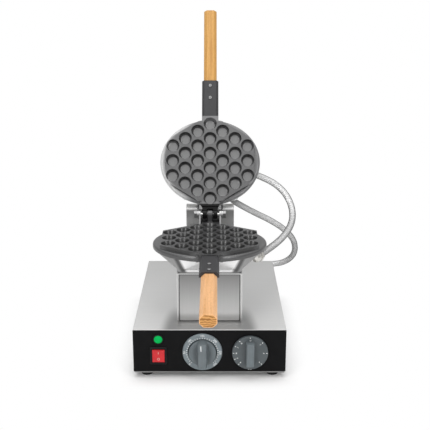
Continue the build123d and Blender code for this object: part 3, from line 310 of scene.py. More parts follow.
def rounded_outline(corners, radius, steps=5):
    """A closed outline whose corners are rounded: each corner becomes points of a quadratic curve from a
    place on one side to the same place on the next."""
    corners = np.asarray(corners, float)
    out = []
    t = np.linspace(0, 1, steps)[:, None]
    for k in range(len(corners)):
        here, before, after = corners[k], corners[k - 1], corners[(k + 1) % len(corners)]
        a = here + (before - here) / np.linalg.norm(before - here) * radius
        b = here + (after - here) / np.linalg.norm(after - here) * radius
        out.append((1 - t) ** 2 * a + 2 * t * (1 - t) * here + t**2 * b)
    return np.concatenate(out)


def octagon(width, thickness, cut):
    """Corners of a rectangle with its corners cut off."""
    w, t = width / 2, thickness / 2
    half = [(w - cut, -t), (w, -t + cut), (w, t - cut), (w - cut, t)]
    return half + [(-x, -y) for x, y in half]


# Materials


def material(name, colour, rough, metal=0.0, specular=0.5):
    """A new material with its own shader."""
    m = bpy.data.materials.new(name)
    m.use_nodes = True
    inputs = inputs_of(m)
    inputs["Base Color"].default_value = m.diffuse_color = (*colour, 1)
    inputs["Roughness"].default_value = rough
    inputs["Metallic"].default_value = metal
    inputs["Specular IOR Level"].default_value = specular
    return m


def inputs_of(m):
    """The inputs of a material's shader."""
    return m.node_tree.nodes["Principled BSDF"].inputs


def base_of(m):
    """What feeds a material's base colour."""
    return inputs_of(m)["Base Color"].links[0].from_socket


def node(m, kind, **values):
    """A node in the tree of a material or a world, with its sockets set."""
    n = m.node_tree.nodes.new(kind)
    for key, value in values.items():
        if key in n.inputs:
            n.inputs[key].default_value = value
        else:
            setattr(n, key, value)
    return n


def link(m, a, b):
    """Joins an output to an input."""
    m.node_tree.links.new(a, b)


def feed(m, value, socket):
    """Joins an output to an input, or sets the input to a number or a colour."""
    if isinstance(value, bpy.types.NodeSocket):
        link(m, value, socket)
    else:
        socket.default_value = (*value, 1) if hasattr(value, "__len__") else value


def set_base(m, socket):
    """Feeds a material's base colour."""
    link(m, socket, inputs_of(m)["Base Color"])


def placed(m, scale=(1, 1, 1), rotation=(0, 0, 0)):
    """Object coordinates, turned first and then scaled."""
    coordinates = node(m, "ShaderNodeTexCoord")
    turned = node(m, "ShaderNodeMapping", Rotation=rotation)
    scaled = node(m, "ShaderNodeMapping", Scale=scale)
    link(m, coordinates.outputs["Object"], turned.inputs["Vector"])
    link(m, turned.outputs["Vector"], scaled.inputs["Vector"])
    return scaled.outputs["Vector"]


def noise(m, vector, scale, detail, rough):
    """A noise value on a vector."""
    n = node(m, "ShaderNodeTexNoise", Scale=scale, Detail=detail, Roughness=rough)
    link(m, vector, n.inputs["Vector"])
    return n.outputs["Fac"]


def ramp(m, value, stops):
    """A colour ramp with (place, grey or colour) stops."""
    n = node(m, "ShaderNodeValToRGB")
    link(m, value, n.inputs["Fac"])
    while len(n.color_ramp.elements) < len(stops):
        n.color_ramp.elements.new(0.5)
    for element, (place, colour) in zip(n.color_ramp.elements, stops):
        element.position = place
        element.color = (*colour, 1) if hasattr(colour, "__len__") else (colour, colour, colour, 1)
    return n.outputs["Color"]


def bump(m, value, height, strength):
    """Bump from a value, with its height in millimetres."""
    n = node(m, "ShaderNodeBump", Strength=strength, Distance=height * MM)
    link(m, value, n.inputs["Height"])
    link(m, n.outputs["Normal"], inputs_of(m)["Normal"])


def rough_from(m, value, low, high):
    """Roughness between two limits by a value."""
    link(m, step(m, value, 0.0, 1.0, low, high, "LINEAR"), inputs_of(m)["Roughness"])


def colour_from(m, value, stops):
    """Base colour by a ramp of a value."""
    set_base(m, ramp(m, value, stops))


def brushed_sheet(name, colour, scale, rough, metal=1.0):
    """Sheet steel with fine lines along its least scaled axis, in colour, roughness and bump."""
    m = material(name, colour, rough, metal=metal)
    lines = noise(m, placed(m, scale), 1.0, 5.0, 0.6)
    c = np.array(colour)
    colour_from(m, lines, [(0.3, c * 0.955), (0.7, np.minimum(c * 1.03, 1))])
    rough_from(m, lines, rough - 0.05, rough + 0.05)
    bump(m, lines, 0.004, 0.35)
    return m


def cast_coating(name, colour, rough):
    """Non-stick coating on a casting: fine orange peel in bump and roughness, broad clouds in colour."""
    m = material(name, colour, rough, specular=1.0)
    fine = noise(m, placed(m), 900.0, 3.0, 0.6)
    broad = noise(m, placed(m), 35.0, 3.0, 0.5)
    c = np.array(colour)
    colour_from(m, broad, [(0.3, c * 0.85), (0.7, c * 1.18)])
    rough_from(m, fine, rough - 0.06, rough + 0.08)
    bump(m, fine, 0.03, 0.55)
    return m


def axis_value(m, axis):
    """One Object coordinate, in metres."""
    parts = node(m, "ShaderNodeSeparateXYZ")
    link(m, node(m, "ShaderNodeTexCoord").outputs["Object"], parts.inputs[0])
    return parts.outputs[axis]


def math_of(m, operation, *values):
    """A math node on sockets or numbers."""
    n = node(m, "ShaderNodeMath", operation=operation)
    for k, value in enumerate(values):
        feed(m, value, n.inputs[k])
    return n.outputs[0]


def product(m, first, *others):
    """Sockets and numbers multiplied one after another."""
    for other in others:
        first = math_of(m, "MULTIPLY", first, other)
    return first


def vector_of(m, operation, first, *second):
    """A vector math node on a socket, and on a fixed vector if one is given."""
    n = node(m, "ShaderNodeVectorMath", operation=operation)
    link(m, first, n.inputs[0])
    for fixed in second:
        n.inputs[1].default_value = fixed
    return n.outputs["Value" if operation == "LENGTH" else "Vector"]


def step(m, value, low, high, start=0.0, end=1.0, kind="SMOOTHSTEP"):
    """A value's way between two limits, smooth unless its kind is LINEAR."""
    n = node(m, "ShaderNodeMapRange", interpolation_type=kind)
    for key, number in (("From Min", low), ("From Max", high), ("To Min", start), ("To Max", end)):
        n.inputs[key].default_value = number
    link(m, value, n.inputs["Value"])
    return n.outputs["Result"]


def blended(m, share, first, second, blend_type="MIX"):
    """A mix of two colours, sockets or values."""
    n = node(m, "ShaderNodeMix", data_type="RGBA", blend_type=blend_type)
    for value, socket in ((share, 0), (first, 6), (second, 7)):
        feed(m, value, n.inputs[socket])
    return n.outputs[2]


def chosen(m, share, first, second):
    """A mix of two numbers or values."""
    n = node(m, "ShaderNodeMix", data_type="FLOAT")
    for value, socket in ((share, 0), (first, 2), (second, 3)):
        feed(m, value, n.inputs[socket])
    return n.outputs[0]


def shaded(m, factor):
    """Scales a material's base colour by a value."""
    tone = node(m, "ShaderNodeVectorMath", operation="SCALE")
    link(m, base_of(m), tone.inputs[0])
    link(m, factor, tone.inputs["Scale"])
    set_base(m, tone.outputs[0])


def length_of(m, a, b):
    """Length of a vector of two values."""
    return math_of(m, "SQRT", math_of(m, "ADD", product(m, a, a), product(m, b, b)))


def pan_coating(name, colour, place, half_width, rim_highlight, centre_knuckle, wall_shade_start):
    """A pan's coating with painted light and shade. The depth below the mating plane finds the cavities' walls and
    the field's sides, painted nearly black as shade, and on the lid the cavities' floors, painted lighter as lit
    floors; the shortest way from the hinge axis finds the knuckles, painted black as shade with less gloss; and
    the rim's ellipse finds the edge, painted lighter towards the left as a highlight."""
    m = cast_coating(name, colour, 0.3)
    base, wall_end = base_of(m), WALL_END * MM
    x = axis_value(m, "X")
    aside = math_of(m, "ABSOLUTE", x)
    y = math_of(m, "SUBTRACT", axis_value(m, "Y"), HINGE_Y * MM)
    z = math_of(m, "SUBTRACT", axis_value(m, "Z"), HINGE_Z * MM)
    reach = length_of(m, y, z)
    along = math_of(m, "MULTIPLY_ADD", reach, 1 / (PAN_HALF_LENGTH * MM), -PAN_REACH / PAN_HALF_LENGTH)
    out = length_of(m, math_of(m, "DIVIDE", x, half_width * MM), along)
    way, start = place[:3, 2], place[:3, 3] - np.array([0, HINGE_Y, HINGE_Z])
    depth = math_of(m, "MULTIPLY_ADD", y, float(-way[1]), float(start @ way) * MM)
    depth = math_of(m, "MULTIPLY_ADD", z, float(-way[2]), depth)
    # Painted light: on the lid, below the wall's end the cavities' floors are painted a lighter grey
    if not centre_knuckle:
        base = blended(m, step(m, depth, wall_end - 0.0002, wall_end + 0.0002), base, (0.15, 0.15, 0.151))
    level = math_of(m, "ABSOLUTE", math_of(m, "SUBTRACT", depth, RIM_TOP * MM))
    plateau = product(m, step(m, level, 0.0003, 0.0006, 1.0, 0.0), step(m, out, 0.78, 0.82))
    # Painted shade: the cavities' walls and the field's sides are painted nearly black, all but the rim's top
    wall = product(
        m,
        step(m, depth, wall_shade_start, wall_shade_start + 0.0006),
        step(m, depth, wall_end - 0.0008, wall_end - 0.0002, 1.0, 0.0),
        math_of(m, "SUBTRACT", 1.0, plateau),
        step(m, out, 0.93, 0.97, 1.0, 0.0),
    )
    # Painted highlight: the rim's edge is painted lighter grey towards the left
    rim_highlight_share = product(m, step(m, out, 0.88, 0.98, 0.0, rim_highlight), step(m, x, 0.06, -0.085), step(m, aside, 0.03, 0.05))
    tone = blended(m, wall, blended(m, rim_highlight_share, base, (0.5, 0.5, 0.5)), SHADE_BLACK)
    # Painted shade: the knuckles and the lug near the hinge axis are painted black and lose most of their gloss;
    # the lower pan's centre knuckle keeps its colour
    if centre_knuckle:
        knuckle_shade = product(m, step(m, reach, 0.0125, 0.0155, 1.0, 0.0), step(m, aside, 0.0035, 0.0045))
    else:
        knuckle_shade = step(m, reach, 0.0185, 0.0205, 1.0, 0.0)
    link(m, math_of(m, "MULTIPLY_ADD", knuckle_shade, -0.8, 1.0), inputs_of(m)["Specular IOR Level"])
    set_base(m, blended(m, knuckle_shade, tone, SHADE_BLACK))
    return m


def mirrored_sheet(name, colour, scale):
    """The base's top sheet with painted shade: greyer towards the back, and painted dark where pan and pedestal
    are mirrored in it, inside an ellipse on each side of the pedestal's front foot."""
    m = brushed_sheet(name, colour, scale, 0.36, metal=0.55)
    y, aside = axis_value(m, "Y"), math_of(m, "ABSOLUTE", axis_value(m, "X"))
    side = math_of(m, "MAXIMUM", math_of(m, "SUBTRACT", aside, 0.054), 0.0)
    r = length_of(m, math_of(m, "DIVIDE", side, 0.03), math_of(m, "MULTIPLY_ADD", y, 1 / 0.11, 0.165 / 0.11))
    # Painted shade of pan and pedestal mirrored in the sheet, weaker straight in front of the pedestal
    dark = product(m, step(m, r, 0.35, 1.0, 0.58, 0.0), step(m, aside, 0.044, 0.058, 0.68, 1.0))
    below_top = step(m, axis_value(m, "Z"), 0.0868, 0.0872, 1.0, 0.0)
    shade = math_of(m, "MAXIMUM", math_of(m, "SUBTRACT", 1.0, dark), below_top)
    # Painted shade: greyer towards the back
    shaded(m, product(m, shade, step(m, y, -0.16, 0.16, 0.95, 0.76, "LINEAR")))
    return m


def knob_plastic(name, colour, skirt, grip, bar_highlight):
    """A knob's plastic, with a painted highlight: lighter on the bar that stands out to the front."""
    m = moulded(name, colour, 0.42, 0.012)
    low, high = (KNOB_BACK - skirt) * MM, (KNOB_BACK - grip + 1.5) * MM
    # Painted highlight: the plastic gets lighter towards the bar's front
    shaded(m, step(m, axis_value(m, "Y"), low, high, 1.0, bar_highlight))
    return m


def creased_bowl(name):
    """Polished steel bowl with painted reflections: bright on its front, with a dark crease on each side that leans
    outwards with the height, greyer beyond it, and a dark foot."""
    m = bright_metal(name, (0.7, 0.7, 0.7), 0.34)
    inputs_of(m)["Metallic"].default_value = 0.7
    height = axis_value(m, "Z")
    # Painted reflections: bright front, a dark crease on each side leaning outwards, greyer beyond, and a dark foot
    crease = math_of(m, "MULTIPLY_ADD", height, -0.5, math_of(m, "ABSOLUTE", axis_value(m, "X")))
    place = product(m, math_of(m, "ADD", crease, 0.08675), 10.0)
    stops = [(0.0, 0.7), (0.33, 0.84), (0.38, 0.12), (0.42, 0.09), (0.47, 0.3), (0.62, 0.27), (0.74, 0.14)]
    foot = step(m, height, 0.1748, 0.1785, 1.0, 0.0)
    set_base(m, blended(m, foot, ramp(m, place, stops), (0.16, 0.16, 0.16)))
    return m


def dark_shelf_sheet(name, colour, top):
    """Brushed sheet whose upper face, under the bowl, has the dark pan's reflection painted on it."""
    m = brushed_sheet(name, colour, UPRIGHT, 0.34)
    # Painted reflection: the upper face under the bowl is painted dark
    shelf_reflection = step(m, axis_value(m, "Z"), top - 0.0006, top - 0.0002)
    set_base(m, blended(m, shelf_reflection, base_of(m), (0.12, 0.12, 0.12)))
    return m


def gap_edged_sheet(name, colour, box):
    """Brushed sheet with painted light and shade: darker above, and a painted dark line of shade for the gap round
    its outline: the distance to the nearest edge of the box across and up."""
    m = brushed_sheet(name, colour, UPRIGHT, 0.3)
    (x_low, _, z_low), (x_high, _, z_high) = box
    x, z = axis_value(m, "X"), axis_value(m, "Z")
    gaps = [math_of(m, "SUBTRACT", *pair) for pair in ((x, x_low), (x_high, x), (z, z_low), (z_high, z))]
    nearest = math_of(m, "MINIMUM", math_of(m, "MINIMUM", *gaps[:2]), math_of(m, "MINIMUM", *gaps[2:]))
    # Painted shade: a dark line round the outline for the gap, and the sheet lighter below and darker above
    edge = step(m, nearest, 0.0009, 0.0013, 0.1, 1.0, "LINEAR")
    rise = step(m, z, z_low, z_high, kind="LINEAR")
    height_shade = product(m, ramp(m, rise, [(0.0, 1.0), (0.25, 0.66), (0.5, 0.53), (1.0, 0.29)]), 2.0)
    shaded(m, product(m, edge, height_shade))
    return m


def beech(name, light, dark, turned):
    """Beech along the handle: long streaks and short dark flecks, on Object coordinates turned into line
    with the grip."""
    m = material(name, light, 0.42, specular=0.4)
    streaks = noise(m, placed(m, (260, 9, 260), turned), 1.0, 5.0, 0.62)
    flecks = noise(m, placed(m, (1500, 160, 1500), turned), 1.0, 2.0, 0.5)
    wood = ramp(m, streaks, [(0.3, dark), (0.52, light), (0.8, np.minimum(light * 1.08, 1))])
    set_base(m, blended(m, 0.6, wood, ramp(m, flecks, [(0.36, 0.72), (0.46, 1.0)]), "MULTIPLY"))
    rough_from(m, flecks, 0.5, 0.38)
    bump(m, flecks, 0.03, 0.4)
    return m


def beech_end(name, light, dark, turned):
    """Sawn end of the grip: growth rings cut across, with dense pores."""
    m = material(name, dark, 0.6, specular=0.3)
    rings = node(
        m, "ShaderNodeTexWave", wave_type="RINGS", rings_direction="Y", Scale=80.0, Distortion=9.0, Detail=2.0
    )
    link(m, placed(m, (1, 1, 1), turned), rings.inputs["Vector"])
    pores = noise(m, placed(m, (330, 330, 620), turned), 1.0, 3.0, 0.7)
    between = dark * 0.5 + light * (0.42, 0.4, 0.27)
    colour_from(m, product(m, rings.outputs["Fac"], pores), [(0.05, dark * (0.5, 0.44, 0.3)), (0.36, between)])
    bump(m, pores, 0.05, 0.5)
    return m


def moulded(name, colour, rough, grain, specular=0.5):
    """Moulded plastic or rubber: fine spark texture in bump and roughness, slight colour drift."""
    m = material(name, colour, rough, specular=specular)
    fine = noise(m, placed(m), 1400.0, 2.0, 0.5)
    broad = noise(m, placed(m), 60.0, 2.0, 0.5)
    c = np.array(colour)
    colour_from(m, broad, [(0.3, c * 0.92), (0.7, np.minimum(c * 1.08, 1))])
    rough_from(m, fine, rough - 0.04, rough + 0.06)
    bump(m, fine, grain, 0.5)
    return m


def bright_metal(name, colour, rough):
    """Turned or plated metal with faint handling marks."""
    m = material(name, colour, rough, metal=1.0)
    marks = noise(m, placed(m), 400.0, 3.0, 0.6)
    rough_from(m, marks, rough * 0.7, rough * 1.5)
    bump(m, marks, 0.01, 0.4)
    return m


def woven_braid(name):
    """Steel braid on a hose's own UVs: the two strand directions cross over and under, and each strand has fine
    wires, with the grooves between wires painted dark as shade. Which direction lies above follows the sign of
    the product of the two directions' waves. The colour is also painted darker towards the hose's outline, as
    shade."""
    m = material(name, (0.9, 0.9, 0.89), 0.34, metal=0.6)
    parts = node(m, "ShaderNodeSeparateXYZ")
    link(m, node(m, "ShaderNodeTexCoord").outputs["UV"], parts.inputs[0])
    a, b = (math_of(m, "MULTIPLY_ADD", parts.outputs["X"], sign, parts.outputs["Y"]) for sign in (1.0, -1.0))

    def wave(value, times):
        """A cosine that runs a number of times over one strand."""
        return math_of(m, "COSINE", product(m, value, 2 * math.pi * times))

    above = math_of(m, "GREATER_THAN", product(m, wave(a, 1), wave(b, 1)), 0.0)
    wires = chosen(m, above, wave(a, 6), wave(b, 6))
    # Painted shade: darker in the grooves between the wires
    tone = ramp(m, wires, [(0.0, 0.5), (0.45, 0.92), (1.0, 1.0)])
    edge_on = node(m, "ShaderNodeLayerWeight", Blend=0.5).outputs["Facing"]
    # Painted shade: darker towards the hose's outline, where the braid is seen edge on
    sides = ramp(m, edge_on, [(0.0, 1.0), (0.3, 0.9), (0.6, 0.38), (0.9, 0.1)])
    set_base(m, blended(m, 1.0, tone, sides, "MULTIPLY"))
    bump(m, wires, 0.12, 0.6)
    return m


def make_finishes():
    """Every finish of the object by name."""
    c = bpy.context.scene.waffle_colours
    steel, dial, coating = np.array(c.steel), np.array(c.dial), np.array(c.coating)
    wood, dark = np.array(c.wood_light), np.array(c.wood_dark)
    # The second factors paint the upper grip's beech darker as shade, and yellower
    lid_turn, upper_wood_shade = (OPEN_ANGLE - math.pi, 0, 0), np.array([0.73, 0.7, 0.4])
    pedestal_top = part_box("pedestal_frame")[1][2]
    return {
        "top_sheet": mirrored_sheet("brushed_top_sheet", steel, ALONG),
        # The bottom plate's edge: sheet steel painted darker, as shade under the base
        "edge_sheet": brushed_sheet("shaded_bottom_edge_sheet", steel * 0.4, ALONG, 0.36),
        "upright_sheet": brushed_sheet("brushed_upright_sheet", steel * 0.86, UPRIGHT, 0.34),
        "pedestal": dark_shelf_sheet("pedestal_sheet", steel * 0.86, pedestal_top),
        "plate": gap_edged_sheet("inset_plate_sheet", steel * 0.52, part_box("pedestal_front_plate")),
        "fascia": moulded("black_fascia_print", (0.0075, 0.0075, 0.008), 0.4, 0.006, specular=0.05),
        "coating": pan_coating("dark_pan_coating", coating, LOWER, LOWER_HALF_WIDTH, 0.0, True, 0.0014),
        # The lid's coating: the lower pan's colour painted 3.2 times lighter, for the light on the lid's face
        "lid_coating": pan_coating("lightened_lid_coating", coating * 3.2, LID, UPPER_HALF_WIDTH, 1.0, False, 0.0007),
        "bowl": bright_metal("polished_bowl_steel", (0.7, 0.7, 0.7), 0.09),
        "lower_bowl": creased_bowl("creased_bowl_steel"),
        "bracket": brushed_sheet("hinge_bracket_steel", (0.42, 0.42, 0.42), (900, 900, 60), 0.34),
        "socket": moulded("dark_socket_paint", (0.032, 0.032, 0.034), 0.42, 0.02, specular=0.35),
        "screw": bright_metal("bright_screw_steel", (0.66, 0.66, 0.65), 0.24),
        "grip_screw": bright_metal("dull_screw_steel", (0.26, 0.26, 0.26), 0.4),
        "lower_wood": beech("lower_beech", wood, dark, (0, 0, 0)),
        "upper_wood": beech("upper_beech", wood * upper_wood_shade, dark * upper_wood_shade, lid_turn),
        "lower_end": beech_end("lower_beech_end", wood, dark, (0, 0, 0)),
        "upper_end": beech_end("upper_beech_end", wood, dark, lid_turn),
        "ring": moulded("scale_ring_plastic", dial * 1.12, 0.42, 0.012),
        "dial": knob_plastic("timer_dial_plastic", dial * 0.46, 5.0, 16.0, 1.8),
        "knob": knob_plastic("knob_plastic", dial * 0.72, 7.0, 18.0, 1.12),
        "black": moulded("black_plastic", (0.008, 0.008, 0.009), 0.42, 0.015, specular=0.15),
        "rubber": moulded("foot_rubber", (0.014, 0.014, 0.014), 0.7, 0.04, specular=0.3),
        "marking": moulded("white_marking", (0.8, 0.82, 0.82), 0.5, 0.004),
        "rocker_mark": moulded("pale_rocker_marking", (0.6, 0.4, 0.36), 0.5, 0.004),
        "nut": bright_metal("hinge_nut_steel", (0.3, 0.3, 0.3), 0.34),
        "rocker": moulded("red_rocker", c.rocker, 0.3, 0.004, specular=0.3),
        "element": bright_metal("element_steel", (0.3, 0.28, 0.26), 0.45),
        "brass": bright_metal("nickel_plate", (0.62, 0.61, 0.58), 0.22),
        "braid": woven_braid("steel_braid"),
    }


FINISH = {}


def paint(finish, *names):
    """Gives CAD nodes a finish."""
    for name in names:
        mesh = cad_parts[name].data
        if mesh.materials:
            for k in range(len(mesh.materials)):
                mesh.materials[k] = FINISH[finish]
        else:
            mesh.materials.append(FINISH[finish])


def give(piece, body, slot, *nodes):
    """A piece rides on a body and may stand for nodes; the slot is not used."""
    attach(piece, body)
    if nodes:
        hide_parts(*nodes)


# Stage and finishes


class WAFFLE_OT_stage(Operator):
    """Floor, soft studio light, white surroundings and the camera at the photographed angle"""

    bl_idname = "waffle.stage"
    bl_label = "Stage"

    def execute(self, context):
        scene = context.scene
        sizes = scene.waffle_sizes
        camera = linked("camera", bpy.data.cameras.new("camera"))
        camera.data.lens = sizes.camera_lens
        camera.data.sensor_width = 36
        camera.data.clip_end = 50
        camera.location = CAMERA_PLACE
        camera.rotation_euler = (math.pi / 2 - sizes.camera_pitch, 0, 0)
        scene.camera = camera
        scene.view_settings.view_transform = "Standard"
        self.floor()
        self.world(scene)
        for name, place, aim, size, power in LAMPS:
            data = bpy.data.lights.new(name, "AREA")
            data.shape = "RECTANGLE"
            data.size, data.size_y = size
            data.energy = power
            lamp = linked(name, data)
            lamp.location = place
            lamp.rotation_euler = (Vector(aim) - Vector(place)).to_track_quat("-Z", "Y").to_euler()
        return {"FINISHED"}

    def floor(self):
        """A plain disc that takes the shadow near the object and is white to the camera further out."""
        m = material("plain_floor", (0.95, 0.95, 0.95), 0.9, specular=0.0)
        glow = node(m, "ShaderNodeEmission", Color=(1, 1, 1, 1), Strength=1.0)
        size = vector_of(m, "ABSOLUTE", node(m, "ShaderNodeTexCoord").outputs["Object"])
        past = vector_of(m, "MAXIMUM", vector_of(m, "SUBTRACT", size, BASE_FOOTPRINT), (0, 0, 0))
        share = step(m, vector_of(m, "LENGTH", past), 0.0, SHADOW_REACH)
        seen = product(m, node(m, "ShaderNodeLightPath").outputs["Is Camera Ray"], share)
        mix = node(m, "ShaderNodeMixShader")
        shader = m.node_tree.nodes["Principled BSDF"]
        for k, output in enumerate((seen, shader.outputs[0], glow.outputs[0])):
            link(m, output, mix.inputs[k])
        link(m, mix.outputs[0], m.node_tree.nodes["Material Output"].inputs["Surface"])
        floor = build("floor", [lathe([(0.001, 0), (6000, 0)], 64)], m, solid=False)

    def world(self, scene):
        """Pale light all round, white to the camera and through glass; what gloss sees is white above and
        behind, and greyer towards the front, as in a studio with a dark camera side."""
        world = scene.world = bpy.data.worlds.new("studio")
        world.use_nodes = True
        back = world.node_tree.nodes["Background"].inputs
        back["Color"].default_value = (1, 1, 1, 1)
        path = node(world, "ShaderNodeLightPath").outputs
        way = node(world, "ShaderNodeSeparateXYZ")
        link(world, node(world, "ShaderNodeTexCoord").outputs["Generated"], way.inputs[0])
        depth = step(world, way.outputs["Y"], -0.9, 0.7, FRONT_GREY, 1.0)
        rise = step(world, way.outputs["Z"], 0.25, 0.75)
        low = step(world, way.outputs["Z"], 0.2, 0.55, HORIZON_GREY, 1.0)
        gloss = product(world, math_of(world, "MAXIMUM", depth, rise), low)
        around = chosen(world, path["Is Glossy Ray"], AMBIENT, gloss)
        seen = math_of(world, "MAXIMUM", path["Is Camera Ray"], path["Is Transmission Ray"])
        link(world, chosen(world, seen, around, 1.0), back["Strength"])


class WAFFLE_OT_finishes(Operator):
    """Procedural finishes for all the carried-over solids"""

    bl_idname = "waffle.finishes"
    bl_label = "Finishes"

    def execute(self, context):
        FINISH.update(make_finishes())
        for finish, nodes in PAINTED.items():
            paint(finish, *nodes.split())
        return {"FINISHED"}


# Hoses


def as_mesh(name, curve):
    """Points and faces of a curve or a text, which isn't kept."""
    guide = linked(name, curve)
    bpy.context.view_layer.update()
    mesh = bpy.data.meshes.new_from_object(guide.evaluated_get(bpy.context.evaluated_depsgraph_get()))
    points = np.array([v.co for v in mesh.vertices], float)
    faces = [list(p.vertices) for p in mesh.polygons]
    bpy.data.meshes.remove(mesh)
    bpy.data.objects.remove(guide)
    bpy.data.curves.remove(curve)
    return points, faces


def spline_points(name, route):
    """Points of the route's smooth spline, a NURBS of third order whose ends are on the first and last
    control point."""
    curve = bpy.data.curves.new(name, "CURVE")
    curve.dimensions = "3D"
    spline = curve.splines.new("NURBS")
    spline.points.add(len(route) - 1)
    spline.points.foreach_set("co", [x for p in route for x in (p[0] * MM, p[1] * MM, p[2] * MM, 1.0)])
    spline.order_u = 3
    spline.use_endpoint_u = True
    spline.resolution_u = 24
    return as_mesh(name, curve)[0]


def along(points, spacing):
    """Points at even steps along a line, and the length so far at each."""
    run = np.r_[0, np.cumsum(np.linalg.norm(np.diff(points, axis=0), axis=1))]
    s = np.linspace(0, run[-1], max(int(round(run[-1] / spacing)), 8) + 1)
    return np.stack([np.interp(s, run, points[:, k]) for k in range(3)], -1), s


def frames(points):
    """Two cross directions at each point, turned as little as possible from one to the next."""
    tangent = np.gradient(points, axis=0)
    tangent /= np.linalg.norm(tangent, axis=1)[:, None]
    side = np.cross(tangent[0], (0, 0, 1.0))
    side /= np.linalg.norm(side)
    sides = []
    for t in tangent:
        side = side - t * np.dot(side, t)
        side /= np.linalg.norm(side)
        sides.append(side)
    sides = np.array(sides)
    return sides, np.cross(tangent, sides)


def braided_hose(name, route, diameter, relief, strands):
    """A tube whose radius rises where the upper strand runs: two families of helical ridges, each high
    where the other is low. UVs count strand widths along and strands round."""
    points, s = along(spline_points(name + "_guide", route), HOSE_SPACING * MM)
    across, up = frames(points)
    angle = np.linspace(0, 2 * np.pi, STRAND_POINTS * strands, endpoint=False)
    u, v = s / (math.pi * diameter / strands), angle * strands / (2 * np.pi)
    a = np.cos(2 * np.pi * (v[None, :] + u[:, None]))
    b = np.cos(2 * np.pi * (v[None, :] - u[:, None]))
    radius = diameter / 2 - relief * (1 - np.abs(a * b) ** 0.5)
    ring = np.cos(angle)[None, :, None] * across[:, None, :] + np.sin(angle)[None, :, None] * up[:, None, :]
    grid = points[:, None, :] + radius[:, :, None] * ring
    columns = grid.shape[1]
    verts, faces = surface(grid, close_columns=True)
    mesh = bpy.data.meshes.new(name)
    mesh.from_pydata(verts.tolist(), [], faces.tolist())
    layer = mesh.uv_layers.new(name="braid")
    i, j = np.divmod(faces, columns)
    j = j + np.where((j == 0) & (np.max(j, axis=1, keepdims=True) == columns - 1), columns, 0)
    layer.data.foreach_set("uv", np.stack([u[i], j * strands / columns], -1).reshape(-1).astype(np.float32))
    mesh.polygons.foreach_set("use_smooth", np.ones(len(mesh.polygons), bool))
    mesh.materials.append(FINISH["braid"])
    work = bmesh.new()
    work.from_mesh(mesh)
    bmesh.ops.holes_fill(work, edges=[e for e in work.edges if e.is_boundary], sides=0)
    bmesh.ops.recalc_face_normals(work, faces=work.faces)
    work.to_mesh(mesh)
    work.free()
    return linked(name, mesh), points, s[-1]


class WAFFLE_OT_hoses(Operator):
    """Two braided steel hoses"""

    bl_idname = "waffle.hoses"
    bl_label = "Hoses"

    def execute(self, context):
        sizes = context.scene.waffle_sizes
        for name, route, start, end in (
            ("hose_a", HOSE_A, HOSE_A[1], HOSE_A[-2]),
            ("hose_b", HOSE_B, *HOSE_B_TURN),
        ):
            hose, points, length = braided_hose(
                name + "_braid", route, sizes.hose_diameter, sizes.braid_relief, sizes.braid_strands
            )
            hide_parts(name)
            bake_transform(hose)
        return {"FINISHED"}


# Handles


def along_pan(length, z, place):
    """Place of a cross-section on a handle: X across, Y up from the pan face, at a length from the hinge."""
    m = np.eye(4)
    m[:3, 0], m[:3, 1], m[:3, 2] = (1, 0, 0), (0, 0, 1), (0, -1, 0)
    m[:3, 3] = (0, -length, z)
    return place @ m


def extruded(outline, stations):
    """A closed outline carried along Z: each station is (height, scale in x, scale in y)."""
    outline = np.asarray(outline, float)
    rows = [np.column_stack([outline * (a, b), np.full(len(outline), z)]) for z, a, b in stations]
    return surface(np.array(rows), close_columns=True)


class WAFFLE_OT_grips(Operator):
    """Eight-sided beech grips with eased edges and sawn ends"""

    bl_idname = "waffle.grips"
    bl_label = "Grips"

    def execute(self, context):
        radius = context.scene.waffle_sizes.edge_radius / MM
        width, thick, cut = 24.3, 19.2, 5.5
        start, end, ease = 236.2, 408.0, 1.3
        length = end - start
        outline = rounded_outline(octagon(width, thick, cut), radius)
        shrink_x, shrink_y = 1 - 2 * ease / width, 1 - 2 * ease / thick
        sides = [(0, 1, 1)] + [(z, 1, 1) for z in np.linspace(6, length - ease, 24)]
        for a in np.radians(90 * np.linspace(0.2, 1, 5)):
            near = 1 - math.cos(a)
            sides.append((length - ease + ease * math.sin(a), 1 - (1 - shrink_x) * near, 1 - (1 - shrink_y) * near))
        cap = [(length, shrink_x * k, shrink_y * k) for k in (1.0, 0.8, 0.6, 0.4, 0.2, 0.02)]
        tail = [(0, k, k) for k in (1.0, 0.6, 0.02)]
        for which, place, body in (("lower", LOWER, "base"), ("upper", LID, "lid")):
            m = along_pan(start, -5 - thick / 2, place)
            pieces = joined([extruded(outline, rows) for rows in (sides, cap, tail)], m)
            finishes = [FINISH[which + "_wood"], FINISH[which + "_end"]]
            grip = build(which + "_grip_wood", pieces, finishes, 50, groups=[0, 1, 1])
            give(grip, body, "beech_wood", which + "_handle_grip")
        return {"FINISHED"}


# Fasteners


